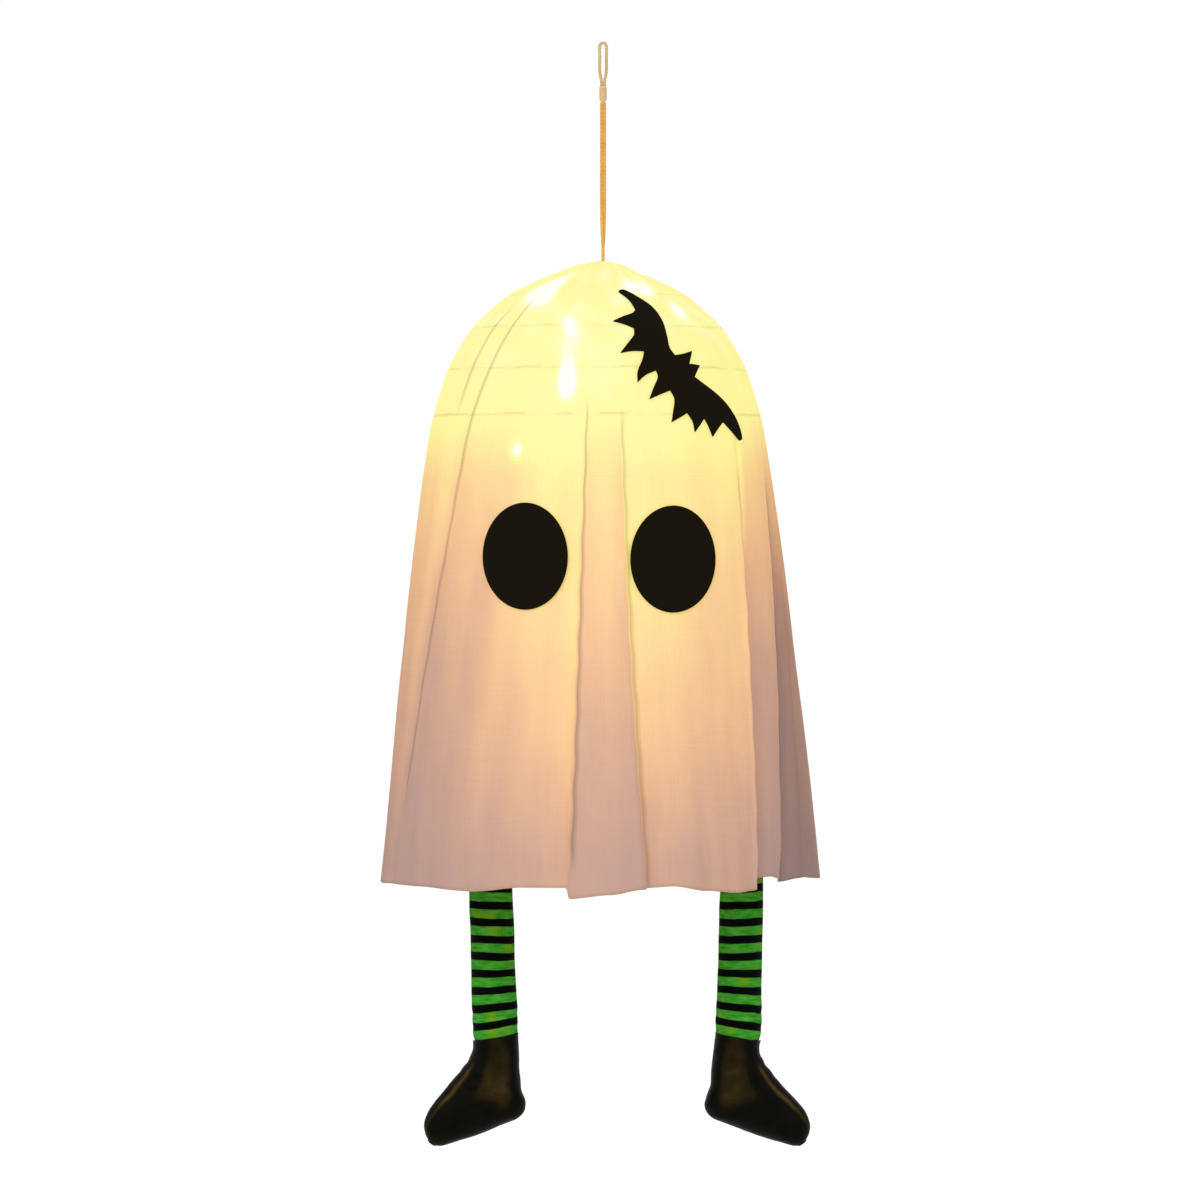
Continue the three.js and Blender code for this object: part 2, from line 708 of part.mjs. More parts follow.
function lightString(holeX, holeY, holeZ) {
  const perTurn = 8;
  const steps = STRING_TURNS * perTurn;
  const low = barZ + 20;
  const high = topRing.z - 22;
  const r = STRING_WIRE / 2;
  const beat = [
    [-0.55, 1],
    [-0.3, 2],
    [0, 2],
    [0.3, 2],
    [0.55, 1],
  ];
  const points = [vec(holeX, holeY, holeZ - 4), vec(holeX, holeY, holeZ + 3)];
  const radii = [r, r];
  points.push(vec(holeX + 2, holeY + 6, barZ + 3));
  radii.push(r);
  points.push(vec(LANTERN_SIDE + 8, STRING_DEPTH * 0.35, barZ + 12));
  radii.push(r);
  const half = (z) => {
    const t = (z - barZ) / (topRing.z - ringGap - barZ);
    return footX + (shoulderX - footX) * t + EXPANDER_WIRE / 2 + CLEARANCE + r + 0.15;
  };
  const at = (k) => {
    const a = (2 * Math.PI * k) / perTurn;
    const z = low + ((high - low) * k) / steps;
    const h = (z - lanternZ) / lanternRadius;
    const deep = STRING_DEPTH * Math.sqrt(1 - Math.min(h * h, 0.75));
    const x = LANTERN_SIDE + half(z) * Math.sin(a);
    return vec(x, deep * Math.cos(a), z);
  };
  for (let k = 0; k <= steps - 2; k++) {
    const p = at(k);
    if (k % 2 === 0) {
      points.push(p);
      radii.push(r);
      continue;
    }
    const way = at(k + 1).sub(at(k - 1)).normalize();
    for (const [s, swell] of beat) {
      points.push(p.clone().addScaledVector(way, s * BEAD_DIAMETER));
      radii.push(swell === 1 ? r : BEAD_DIAMETER / 2 - Math.abs(s));
    }
  }
  add("led_string", wire(points, radii, 6, false), "copper");
}

function battery() {
  const c = CLEARANCE;
  const bridgeTop = barZ - EXPANDER_WIRE / 2 - 1.1;
  const bridge = 2;
  const lug = 1.6;
  const opening = 4;
  const caseTop = bridgeTop - bridge - opening;
  const midZ = caseTop - CASE_HEIGHT / 2;
  const x0 = LANTERN_SIDE;
  const frontY = -CASE_DEPTH / 2;
  const pocket = COIN_DIAMETER + 3;
  const pocketDepth = 2 * COIN_THICKNESS + 2.4;
  const pocketX = x0 - CASE_WIDTH / 2 + 3 + pocket / 2;
  const holeX = x0 + CASE_WIDTH / 2 - 7;
  const holeY = CASE_DEPTH / 2 - 3;
  const wall = 1.5;
  const rail = 2;
  const lidThick = 1.6;
  const lidWidth = pocket + 4;
  const lidHeight = pocket + 2.4;
  const lipReach = 1.6;
  const railZ = lidHeight / 2 + c + rail / 2;
  const railX = x0 - CASE_WIDTH / 2 + lidWidth / 2;
  const railY = frontY - (lidThick + 2 * c + wall) / 2;
  const railDepth = lidThick + 2 * c + wall;
  const cavityX = holeX;
  const cavityWidth = 11;
  const body = [box(CASE_WIDTH, CASE_DEPTH, CASE_HEIGHT, x0, 0, midZ)];
  for (const s of [-1, 1]) {
    body.push(box(lidWidth, railDepth + 1, rail, railX, railY + 0.5, midZ + s * railZ));
    const lipZ = midZ + s * (railZ - lipReach / 2);
    const lipY = frontY - lidThick - 2 * c - wall / 2;
    body.push(box(lidWidth, wall, rail + lipReach, railX, lipY, lipZ));
  }
  body.push(box(10, lug, bridge + opening + 1, x0, 0, bridgeTop - (bridge + opening + 1) / 2));
  const cuts = [
    box(pocket, pocketDepth + 4, pocket, pocketX, frontY + pocketDepth / 2 - 2, midZ),
    box(6, 6, opening, x0, 0, bridgeTop - bridge - opening / 2),
    box(cavityWidth, CASE_DEPTH - 2 * wall, 16, cavityX, 0, midZ + 2),
    box(3 + 2 * SWITCH_TRAVEL + 2 * c, wall * 3, 3 + 2 * c, cavityX, frontY, midZ),
    disc(1.1, 12, 10, "z").translate(holeX, holeY, caseTop - 2),
  ];
  add("battery_case", shaped(body, cuts), "plastic");

  const lidY = frontY - c - lidThick / 2;
  const lidX = railX + c / 2;
  const grip = box(2, 1, 10, lidX - lidWidth / 2 + 5, lidY - lidThick / 2 - 0.4, midZ);
  add("battery_lid", shaped([box(lidWidth - c, lidThick, lidHeight, lidX, lidY, midZ), grip], []), "plastic");

  const contact = 0.5;
  const backY = frontY + pocketDepth;
  const coin = (name, order) => {
    const y = backY - 2 * c - contact - COIN_THICKNESS / 2 - order * (COIN_THICKNESS + c);
    const z = midZ - pocket / 2 + COIN_DIAMETER / 2 + c;
    add(name, disc(COIN_DIAMETER / 2, COIN_THICKNESS, 24, "y").translate(pocketX, y, z), "coin");
  };
  coin("coin_cell_back", 0);
  coin("coin_cell_front", 1);
  const backPlate = box(8, contact, 12, pocketX, backY - c - contact / 2, midZ - 2);
  add("contact_back", backPlate, "brass");
  const sideX = pocketX + COIN_DIAMETER / 2 + c + contact / 2;
  const sideY = backY - 2 * c - contact - COIN_THICKNESS - c - COIN_THICKNESS / 2;
  const sideZ = midZ - pocket / 2 + COIN_DIAMETER / 2 + c;
  add("contact_side", box(contact, 2.6, 9, sideX, sideY, sideZ), "brass");

  const stemDepth = wall + 1.2;
  const slider = [
    box(6, 1.4, 7, cavityX, frontY + wall + c + 0.7, midZ),
    box(3, stemDepth + 1, 3, cavityX, frontY + wall + c + 0.2 - stemDepth / 2, midZ),
    box(3.4, 1.5, 5, cavityX, frontY - c - 0.75, midZ),
  ];
  add("switch_slider", shaped(slider, []), "boot");

  const halfWidth = 1.2 + c + 0.55;
  const over = vec(x0, 0, barZ + EXPANDER_WIRE / 2 + c + 0.55 - halfWidth);
  const under = vec(x0, 0, bridgeTop - bridge + lug / 2);
  add("cable_tie", linkLoop(over, under, halfWidth, vec(0, 1, 0), 0.55, 6), "tie");
  return { holeX, holeY, holeZ: caseTop };
}

hangingCord();
sheet();
eye("left_eye", LEFT_EYE_AZIMUTH);
eye("right_eye", RIGHT_EYE_AZIMUTH);
bat();
lantern();
expander();
const exit = battery();
lightString(exit.holeX, exit.holeY, exit.holeZ);
leg(-1, LEFT_ANKLE_X, LEFT_LEG_LEAN, 8);
leg(1, RIGHT_ANKLE_X, RIGHT_LEG_LEAN, 7);

export default ghost;
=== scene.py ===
"""Hanging ghost decoration: its visible pieces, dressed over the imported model."""

import logging
import math
from dataclasses import astuple, dataclass, field, fields
from enum import Enum
from typing import Any, Sequence

import bmesh
import bpy
import numpy as np
from bpy.types import Material, Node, NodeSocket, NodeTree, Object
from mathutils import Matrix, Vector, noise
from mathutils.geometry import delaunay_2d_cdt


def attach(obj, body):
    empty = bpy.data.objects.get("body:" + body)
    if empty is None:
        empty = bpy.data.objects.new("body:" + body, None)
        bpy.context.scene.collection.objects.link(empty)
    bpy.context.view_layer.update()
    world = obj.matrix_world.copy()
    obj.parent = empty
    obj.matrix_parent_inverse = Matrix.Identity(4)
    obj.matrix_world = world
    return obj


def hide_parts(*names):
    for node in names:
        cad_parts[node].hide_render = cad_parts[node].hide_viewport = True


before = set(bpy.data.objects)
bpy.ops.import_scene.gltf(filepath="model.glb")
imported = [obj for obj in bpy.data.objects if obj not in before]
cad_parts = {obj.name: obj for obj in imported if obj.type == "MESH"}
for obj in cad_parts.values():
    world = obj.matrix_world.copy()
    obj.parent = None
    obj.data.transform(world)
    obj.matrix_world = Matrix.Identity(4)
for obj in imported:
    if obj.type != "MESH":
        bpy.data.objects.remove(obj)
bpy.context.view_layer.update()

log = logging.getLogger("ghost")
MM = 0.001
FULL_TURN = 2 * math.pi
# The gap that the model leaves between pieces, and the lantern's size and place, in millimetres
CLEARANCE = 0.3
LANTERN_RADIUS = 125.0
LANTERN_X = -4.7
LANTERN_Z = -304.0
# Degrees between the lantern's hoops, counted from its poles
HOOP_PITCH = 17.1


# Small tools


def srgb(code: str) -> tuple[float, float, float, float]:
    """Turn an sRGB hex colour to linear red, green, blue and alpha.

    Args:
        code: six hex digits with or without a leading hash.

    Returns:
        The linear colour with alpha 1.
    """
    parts = [int(code.lstrip("#")[i : i + 2], 16) / 255 for i in (0, 2, 4)]
    linear = [v / 12.92 if v <= 0.04045 else ((v + 0.055) / 1.055) ** 2.4 for v in parts]
    return (linear[0], linear[1], linear[2], 1.0)


def add_node(tree: NodeTree, kind: str, inputs: dict | None = None, **settings: Any) -> Node:
    """Add a node, set its settings, and set or link its inputs.

    Args:
        tree: the node tree that gets the node.
        kind: the node's Blender type.
        inputs: socket name or index to a value, to an output, or to a node whose first output it takes.
        settings: the node's own properties.

    Returns:
        The new node.
    """
    node = tree.nodes.new(kind)
    for name, value in settings.items():
        setattr(node, name, value)
    for name, value in (inputs or {}).items():
        if isinstance(value, Node):
            value = next(output for output in value.outputs if output.enabled)
        if isinstance(value, NodeSocket):
            tree.links.new(value, node.inputs[name])
        else:
            node.inputs[name].default_value = value
    return node


def set_ramp(node: Node, stops: Sequence[tuple[float, Sequence[float]]]) -> None:
    """Give a Color Ramp node its stops.

    Args:
        node: the Color Ramp node.
        stops: position and linear red, green and blue of each stop, in order.
    """
    elements = node.color_ramp.elements
    while len(elements) > 1:
        elements.remove(elements[-1])
    elements[0].position, elements[0].color = stops[0][0], (*stops[0][1], 1.0)
    for place, colour in stops[1:]:
        elements.new(place).color = (*colour, 1.0)


def mesh_piece(
    name: str,
    verts: np.ndarray,
    faces: Sequence[Sequence[int]],
    edges: Sequence[Sequence[int]] = (),
    smooth: bool = True,
) -> Object:
    """Make a mesh object at the origin from points in metres.

    Args:
        name: the piece's name.
        verts: one row of x, y, z for each vertex.
        faces: vertex numbers of each face, anticlockwise from outside.
        edges: vertex numbers of edges that have no face.
        smooth: whether its faces shade smoothly.

    Returns:
        The new object, linked to the scene.
    """
    mesh = bpy.data.meshes.new(name)
    mesh.from_pydata([tuple(v) for v in verts], list(edges), [tuple(f) for f in faces])
    mesh.polygons.foreach_set("use_smooth", [smooth] * len(mesh.polygons))
    mesh.update()
    obj = bpy.data.objects.new(name, mesh)
    bpy.context.scene.collection.objects.link(obj)
    return obj


def grid_faces(rows: int, cols: int, wrap: bool) -> list[tuple[int, int, int, int]]:
    """Quads of a grid of points, row by row.

    Args:
        rows: number of rows.
        cols: number of points in a row.
        wrap: whether the last column joins the first.

    Returns:
        The quads.
    """
    quads = []
    for i in range(rows - 1):
        for j in range(cols if wrap else cols - 1):
            k = (j + 1) % cols
            quads.append((i * cols + j, i * cols + k, (i + 1) * cols + k, (i + 1) * cols + j))
    return quads


def face_out(obj: Object) -> None:
    """Turn the faces of each closed shell of a mesh outwards.

    Args:
        obj: the mesh object.
    """
    work = bmesh.new()
    work.from_mesh(obj.data)
    bmesh.ops.recalc_face_normals(work, faces=work.faces[:])
    work.to_mesh(obj.data)
    work.free()


def add_attribute(obj: Object, name: str, values: Sequence[float]) -> None:
    """Store one number per vertex under a name that a material can read.

    Args:
        obj: the mesh object.
        name: the attribute's name.
        values: one number for each vertex.
    """
    attribute = obj.data.attributes.new(name, "FLOAT", "POINT")
    attribute.data.foreach_set("value", np.asarray(values, dtype=np.float32))


def corners_of(obj: Object) -> np.ndarray:
    """Vertex number of each face corner of a mesh.

    Args:
        obj: the mesh object.

    Returns:
        The numbers, in the order of the mesh's loops.
    """
    corners = np.empty(len(obj.data.loops), dtype=np.int32)
    obj.data.loops.foreach_get("vertex_index", corners)
    return corners


def thicken(obj: Object, thickness: float) -> None:
    """Give a single skin a wall on its inner side.

    Args:
        obj: the skin.
        thickness: the wall's thickness, in millimetres.
    """
    wall = obj.modifiers.new("thickness", "SOLIDIFY")
    wall.thickness = thickness * MM
    wall.offset = -1


def aim(obj: Object, target: Sequence[float]) -> None:
    """Turn a camera or a lamp towards a point.

    Args:
        obj: the camera or lamp, already in its place.
        target: the point, in metres.
    """
    way = Vector(target) - obj.location
    obj.rotation_euler = way.to_track_quat("-Z", "Y").to_euler()


def round_angles(count: int) -> np.ndarray:
    """Angles in equal steps round a full turn, in radians."""
    return np.arange(count) * FULL_TURN / count


def level_ring(radius: Any, around: np.ndarray, z: Any = 0.0) -> np.ndarray:
    """Points about the upright axis at the angles around, at the height z."""
    return np.stack([radius * np.cos(around), radius * np.sin(around), z + 0 * around], axis=-1)


def dress(obj: Object, material: Material) -> Object:
    """Give an object one material.

    Args:
        obj: the object.
        material: its material.

    Returns:
        The same object.
    """
    obj.data.materials.clear()
    obj.data.materials.append(material)
    return obj


def install(obj: Object, body: str, replaced: Sequence[str] = ()) -> Object:
    """Put a finished piece on its body, in place of the CAD nodes it stands for.

    Args:
        obj: the piece.
        body: the moving body that carries it.
        replaced: the CAD nodes that it stands for.

    Returns:
        The same object.
    """
    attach(obj, body)
    if replaced:
        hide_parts(*replaced)
    log.info("%s on %s", obj.name, body)
    return obj


def start_tree(name: str, **inputs: str) -> tuple[NodeTree, Any]:
    """Start a Geometry Nodes tree as every tree here starts.

    Args:
        name: the tree's name.
        inputs: each input's name and its kind, in order.

    Returns:
        The tree, and its inputs as sockets by name.
    """
    tree = bpy.data.node_groups.new(name, "GeometryNodeTree")
    tree.interface.new_socket("Geometry", in_out="OUTPUT", socket_type="NodeSocketGeometry")
    for socket, kind in inputs.items():
        tree.interface.new_socket(socket, in_out="INPUT", socket_type=f"NodeSocket{kind}")
    return tree, add_node(tree, "NodeGroupInput").outputs


def end_tree(tree: NodeTree, shape: Node, material: Material) -> None:
    """End a Geometry Nodes tree as every tree here ends: real meshes with their material.

    Args:
        tree: the tree.
        shape: the node whose geometry is finished.
        material: the material that it takes.
    """
    real = add_node(tree, "GeometryNodeRealizeInstances", {0: shape})
    dressed = add_node(tree, "GeometryNodeSetMaterial", {"Geometry": real, "Material": material})
    add_node(tree, "NodeGroupOutput", {0: dressed})


def grown(name: str, source: Object, tree: NodeTree, values: dict[str, Any]) -> Object:
    """Run a Geometry Nodes tree on an object and keep its result as a plain mesh.

    Args:
        name: the new piece's name.
        source: the object that the tree starts from. It is removed.
        tree: the tree.
        values: input name to value.

    Returns:
        The new mesh object at the origin.
    """
    modifier = source.modifiers.new(tree.name, "NODES")
    modifier.node_group = tree
    for item in tree.interface.items_tree:
        if item.item_type == "SOCKET" and item.in_out == "INPUT" and item.name in values:
            modifier[item.identifier] = values[item.name]
    graph = bpy.context.evaluated_depsgraph_get()
    mesh = bpy.data.meshes.new_from_object(source.evaluated_get(graph))
    bpy.data.objects.remove(source)
    mesh.name = name
    mesh.polygons.foreach_set("use_smooth", [True] * len(mesh.polygons))
    piece = bpy.data.objects.new(name, mesh)
    bpy.context.scene.collection.objects.link(piece)
    face_out(piece)
    return piece


def smooth_path(points: Sequence[Sequence[float]], step: float) -> np.ndarray:
    """A smooth curve through points, with points evenly spaced along it.

    Args:
        points: the points that the curve passes through.
        step: distance between the new points, in the same unit.

    Returns:
        The new points, first and last ones kept.
    """
    p = np.asarray(points, dtype=float)
    ends = np.vstack([2 * p[0] - p[1], p, 2 * p[-1] - p[-2]])
    # Knots as far apart as the root of the distance, so that uneven points make no loops.
    knots = np.concatenate([[0], np.cumsum(np.sqrt(np.linalg.norm(np.diff(ends, axis=0), axis=1)))])
    fine = []
    for i in range(1, len(ends) - 2):
        t = np.linspace(knots[i], knots[i + 1], 12, endpoint=False)[:, None]
        fine.append(spline(ends[i - 1 : i + 3], knots[i - 1 : i + 3], t))
    line = np.vstack([*fine, p[-1:]])
    run = np.concatenate([[0], np.cumsum(np.linalg.norm(np.diff(line, axis=0), axis=1))])
    places = np.linspace(0, run[-1], max(int(round(run[-1] / step)), 2) + 1)
    return np.column_stack([np.interp(places, run, line[:, k]) for k in range(p.shape[1])])


def spline(four: Sequence[np.ndarray], knots: Sequence[float], t: Any) -> np.ndarray:
    """Value of a smooth curve between the middle two of four points.

    Args:
        four: the points, in order.
        knots: where the curve passes them.
        t: place between the second knot and the third.

    Returns:
        The value.
    """
    level = list(four)
    for span, starts in ((1, (0, 1, 2)), (2, (0, 1)), (1, (1,))):
        level = [
            ((knots[i + span] - t) * a + (t - knots[i]) * b) / (knots[i + span] - knots[i])
            for i, a, b in zip(starts, level, level[1:])
        ]
    return level[0]


def closed_tube(name: str, rings: np.ndarray, start: np.ndarray, end: np.ndarray) -> Object:
    """Skin rings of points and close each end on a point.

    Args:
        name: the piece's name.
        rings: an array of rings by sides by 3, in metres.
        start: the closing point before the first ring.
        end: the closing point after the last ring.

    Returns:
        The closed mesh object, faces out.
    """
    count, sides, _ = rings.shape
    verts = np.vstack([rings.reshape(-1, 3), start, end])
    faces: list[tuple[int, ...]] = list(grid_faces(count, sides, True))
    first, last = count * sides, count * sides + 1
    for j in range(sides):
        k = (j + 1) % sides
        faces.append((first, k, j))
        faces.append((last, (count - 1) * sides + j, (count - 1) * sides + k))
    obj = mesh_piece(name, verts, faces)
    face_out(obj)
    return obj


def path_length(path: np.ndarray) -> float:
    """Length of a line through points.

    Args:
        path: the points.

    Returns:
        The length, in the points' unit.
    """
    return float(np.sum(np.linalg.norm(np.diff(path, axis=0), axis=1)))


# Finishes


def principled(name: str, constants: dict[str, Any]) -> tuple[Material, NodeTree, Node]:
    """A new material with only its shader and output.

    Args:
        name: the material's name.
        constants: the shader's inputs that are the same all over.

    Returns:
        The material, its tree and its Principled node.
    """
    material = bpy.data.materials.new(name)
    material.use_nodes = True
    tree = material.node_tree
    tree.nodes.clear()
    shader = add_node(tree, "ShaderNodeBsdfPrincipled", constants)
    add_node(tree, "ShaderNodeOutputMaterial", {"Surface": shader})
    return material, tree, shader


def cover(shader: Node, looks: dict[str, NodeSocket]) -> None:
    """Link what varies over a surface to its shader.

    Args:
        shader: the Principled node.
        looks: the name of each of its inputs to the socket that drives it.
    """
    for name, look in looks.items():
        shader.id_data.links.new(look, shader.inputs[name])


@dataclass(frozen=True)
class LitVoile:
    """Thin off-white polyester voile, plain woven, with lights behind it."""

    name: str = "polyester_voile"
    unlit: str = "#BBA39E"
    painted_shade_colour: str = "#9A8580"
    thread: float = 2.4 * MM
    roughness: float = 0.85

    def build(self, centre: Sequence[float], pitch: float) -> Material:
        """Make the material, which reads the attributes glow, shade and line: painted glow, painted shade and
        painted crease shade.

        Args:
            centre: the lantern's centre, in metres.
            pitch: angle between the lantern's ribs, in radians.

        Returns:
            The material.
        """
        # To the eye: a matt, faintly mauve cloth that a painted glow, in place of the light behind it,
        # turns amber, lemon and almost white, with painted shade on folds towards the sides.
        constants = {"Roughness": self.roughness, "Specular IOR Level": 0.2, "Emission Strength": 1.0}
        material, tree, shader = principled(self.name, constants)
        place = add_node(tree, "ShaderNodeTexCoord").outputs["Object"]
        glow = add_node(tree, "ShaderNodeAttribute", attribute_name="glow").outputs["Fac"]
        shade = add_node(tree, "ShaderNodeAttribute", attribute_name="shade").outputs["Fac"]
        threads = self.threads(tree, place)
        tall = add_node(tree, "ShaderNodeVectorMath", {0: place, 1: (30.0, 30.0, 8.0)}, operation="MULTIPLY")
        cloud = add_node(tree, "ShaderNodeTexNoise", {"Vector": tall, "Scale": 1.0, "Detail": 4.0})
        drift = add_node(
            tree,
            "ShaderNodeMapRange",
            {"Value": cloud, "From Min": 0.3, "From Max": 0.7, "To Min": -0.035, "To Max": 0.035},
        )
        level = add_node(tree, "ShaderNodeMath", {0: glow, 1: drift}, operation="ADD")
        level = add_node(tree, "ShaderNodeMath", {0: threads, 1: 0.02, 2: level}, operation="MULTIPLY_ADD")
        # Painted glow: an emission colour in place of the lantern's light through the cloth.
        light = add_node(tree, "ShaderNodeValToRGB", {"Fac": level})
        set_ramp(
            light,
            [
                (0.0, (0.0, 0.0, 0.0)),
                (0.15, (0.05, 0.012, 0.0)),
                (0.3, (0.2, 0.065, 0.0)),
                (0.45, (0.42, 0.195, 0.01)),
                (0.58, (0.58, 0.345, 0.035)),
                (0.68, (0.62, 0.51, 0.05)),
                (0.76, (0.65, 0.63, 0.08)),
                (0.87, (0.66, 0.66, 0.11)),
                (0.94, (0.72, 0.72, 0.26)),
                (1.0, (0.9, 0.9, 0.66)),
            ],
        )
        # Painted shade: the base colour darkens where the attribute shade is high.
        body = add_node(
            tree,
            "ShaderNodeMix",
            {0: shade, 6: srgb(self.unlit), 7: srgb(self.painted_shade_colour)},
            data_type="RGBA",
        )
        kept = self.kept(tree, place, centre, pitch)
        for colour, socket in ((body, "Base Color"), (light, "Emission Color")):
            dimmed = add_node(tree, "ShaderNodeVectorMath", {0: colour, "Scale": kept}, operation="SCALE")
            cover(shader, {socket: dimmed.outputs[0]})
        bump = add_node(tree, "ShaderNodeBump", {"Strength": 0.15, "Distance": 0.4 * MM, "Height": threads})
        cover(shader, {"Normal": bump.outputs[0]})
        return material

    def kept(self, tree: NodeTree, place: NodeSocket, centre: Sequence[float], pitch: float) -> NodeSocket:
        """Share of the colour left by the painted shadows of the ribs behind the cloth and the painted shade
        of sharp creases.

        Args:
            tree: the material's tree.
            place: object coordinates.
            centre: the lantern's centre, in metres.
            pitch: angle between the ribs, in radians.

        Returns:
            A value of 1 on plain cloth and less on a rib or crease.
        """
        shaky = add_node(tree, "ShaderNodeTexNoise", {"Vector": place, "Scale": 38.0, "Detail": 2.0})
        out = add_node(tree, "ShaderNodeVectorMath", {0: place, 1: tuple(centre)}, operation="SUBTRACT")
        way = add_node(tree, "ShaderNodeVectorMath", {0: out}, operation="NORMALIZE")
        height = add_node(tree, "ShaderNodeSeparateXYZ", {0: way.outputs[0]}).outputs["Z"]
        polar = add_node(tree, "ShaderNodeMath", {0: height}, operation="ARCCOSINE")
        polar = add_node(tree, "ShaderNodeMath", {0: shaky, 1: 0.04, 2: polar}, operation="MULTIPLY_ADD")
        polar = add_node(tree, "ShaderNodeMath", {0: polar, 1: 0.02}, operation="SUBTRACT")
        turns = add_node(tree, "ShaderNodeMath", {0: polar, 1: pitch}, operation="DIVIDE")
        near = add_node(tree, "ShaderNodeMath", {0: turns, 1: 0.5}, operation="PINGPONG")
        # What a hoop's painted shadow takes away: all of it on the hoop, none below the waist or at the
        # peak, less near the crown, and more or less along its way.
        painted_shade_loss: Any = 1.0
        for value, start, end, high, low in (
            (near, 0.012, 0.042, 1.0, 0.0),
            (height, 0.03, 0.09, 0.0, 1.0),
            (height, 0.86, 0.92, 1.0, 0.0),
            (height, 0.5, 0.75, 1.0, 0.45),
            (shaky, 0.35, 0.6, 0.04, 0.18),
        ):
            part = add_node(
                tree,
                "ShaderNodeMapRange",
                {"Value": value, "From Min": start, "From Max": end, "To Min": high, "To Max": low},
                interpolation_type="SMOOTHSTEP",
            )
            painted_shade_loss = add_node(tree, "ShaderNodeMath", {0: part, 1: painted_shade_loss}, operation="MULTIPLY")
        # Painted shade along the sharp creases, read from the attribute line.
        line = add_node(tree, "ShaderNodeAttribute", attribute_name="line").outputs["Fac"]
        sharp = add_node(tree, "ShaderNodeMath", {0: line, 1: 0.8}, operation="POWER")
        painted_shade_loss = add_node(tree, "ShaderNodeMath", {0: sharp, 1: 0.34, 2: painted_shade_loss}, operation="MULTIPLY_ADD")
        return add_node(tree, "ShaderNodeMath", {0: 1.0, 1: painted_shade_loss}, operation="SUBTRACT").outputs[0]

    def threads(self, tree: NodeTree, place: NodeSocket) -> NodeSocket:
        """Height of the plain weave, from the sheet's own coordinates round and down.

        Args:
            tree: the material's tree.
            place: object coordinates, for the slubs' noise.

        Returns:
            A value from about -1 to 1.
        """
        # The real threads lie about 0.3 mm apart. They are drawn 2.4 mm apart, so that they show.
        flat = add_node(tree, "ShaderNodeUVMap", uv_map="cut")
        slub = add_node(tree, "ShaderNodeTexNoise", {"Vector": place, "Scale": 150.0, "Detail": 2.0})
        bend = add_node(
            tree, "ShaderNodeVectorMath", {0: slub.outputs["Color"], "Scale": 1.6 * MM}, operation="SCALE"
        )
        moved = add_node(tree, "ShaderNodeVectorMath", {0: flat, 1: bend}, operation="ADD")
        axes = add_node(tree, "ShaderNodeSeparateXYZ", {0: moved}).outputs
        total: Any = 0.0
        for axis, stretch in (("X", (520.0, 18.0, 1.0)), ("Y", (18.0, 520.0, 1.0))):
            phase = add_node(
                tree, "ShaderNodeMath", {0: axes[axis], 1: FULL_TURN / self.thread}, operation="MULTIPLY"
            )
            wave = add_node(tree, "ShaderNodeMath", {0: phase}, operation="SINE")
            long = add_node(tree, "ShaderNodeVectorMath", {0: flat, 1: stretch}, operation="MULTIPLY")
            yarn = add_node(tree, "ShaderNodeTexNoise", {"Vector": long, "Scale": 1.0, "Detail": 2.0})
            uneven = add_node(
                tree,
                "ShaderNodeMapRange",
                {"Value": yarn, "From Min": 0.25, "From Max": 0.75, "To Min": -0.5, "To Max": 0.5},
            )
            total = add_node(tree, "ShaderNodeMath", {0: uneven, 1: total}, operation="ADD")
            total = add_node(tree, "ShaderNodeMath", {0: wave, 1: 0.28, 2: total}, operation="MULTIPLY_ADD")
        return total.outputs[0]


@dataclass(frozen=True)
class WoolFelt:
    """Black craft felt, pressed from matted fibres."""

    name: str = "black_craft_felt"
    hollow: str = "#110F07"
    crest: str = "#1F1C10"

    def build(self) -> Material:
        """Make the material.

        Returns:
            The material.
        """
        # To the eye: a fully matt brown-black with a fine fuzz and no highlight.
        material, tree, shader = principled(self.name, {"Roughness": 1.0, "Specular IOR Level": 0.05})
        place = add_node(tree, "ShaderNodeTexCoord").outputs["Object"]
        fibre = add_node(
            tree, "ShaderNodeTexNoise", {"Vector": place, "Scale": 1400.0, "Detail": 4.0, "Roughness": 0.7}
        )
        lumps = add_node(tree, "ShaderNodeTexNoise", {"Vector": place, "Scale": 160.0, "Detail": 3.0})
        tone = add_node(
            tree, "ShaderNodeMix", {0: fibre, 6: srgb(self.hollow), 7: srgb(self.crest)}, data_type="RGBA"
        )
        height = add_node(tree, "ShaderNodeMath", {0: fibre, 1: lumps}, operation="ADD")
        bump = add_node(tree, "ShaderNodeBump", {"Strength": 0.4, "Distance": 0.4 * MM, "Height": height})
        cover(shader, {"Base Color": tone.outputs[2], "Normal": bump.outputs[0]})
        return material


@dataclass(frozen=True)
class TwistedTwine:
    """Jute or cotton twine, twisted from fibrous plies."""

    name: str = "jute_twine"
    light: str = "#FFCB6E"
    dark: str = "#E3A64A"

    def build(self) -> Material:
        """Make the material.

        Returns:
            The material.
        """
        # To the eye: golden plies with darker streaks along them, and hairs that catch the light.
        material, tree, shader = principled(self.name, {"Roughness": 0.85, "Specular IOR Level": 0.25})
        place = add_node(tree, "ShaderNodeTexCoord").outputs["Object"]
        hair = add_node(tree, "ShaderNodeTexNoise", {"Vector": place, "Scale": 900.0, "Detail": 4.0})
        worn = add_node(tree, "ShaderNodeTexNoise", {"Vector": place, "Scale": 60.0, "Detail": 2.0})
        level = add_node(tree, "ShaderNodeMath", {0: hair, 1: worn}, operation="ADD")
        tone = add_node(tree, "ShaderNodeMapRange", {"Value": level, "From Min": 0.6, "From Max": 1.3})
        mix = add_node(
            tree, "ShaderNodeMix", {0: tone, 6: srgb(self.dark), 7: srgb(self.light)}, data_type="RGBA"
        )
        bump = add_node(tree, "ShaderNodeBump", {"Strength": 0.4, "Distance": 0.3 * MM, "Height": hair})
        cover(shader, {"Base Color": mix.outputs[2], "Normal": bump.outputs[0]})
        return material


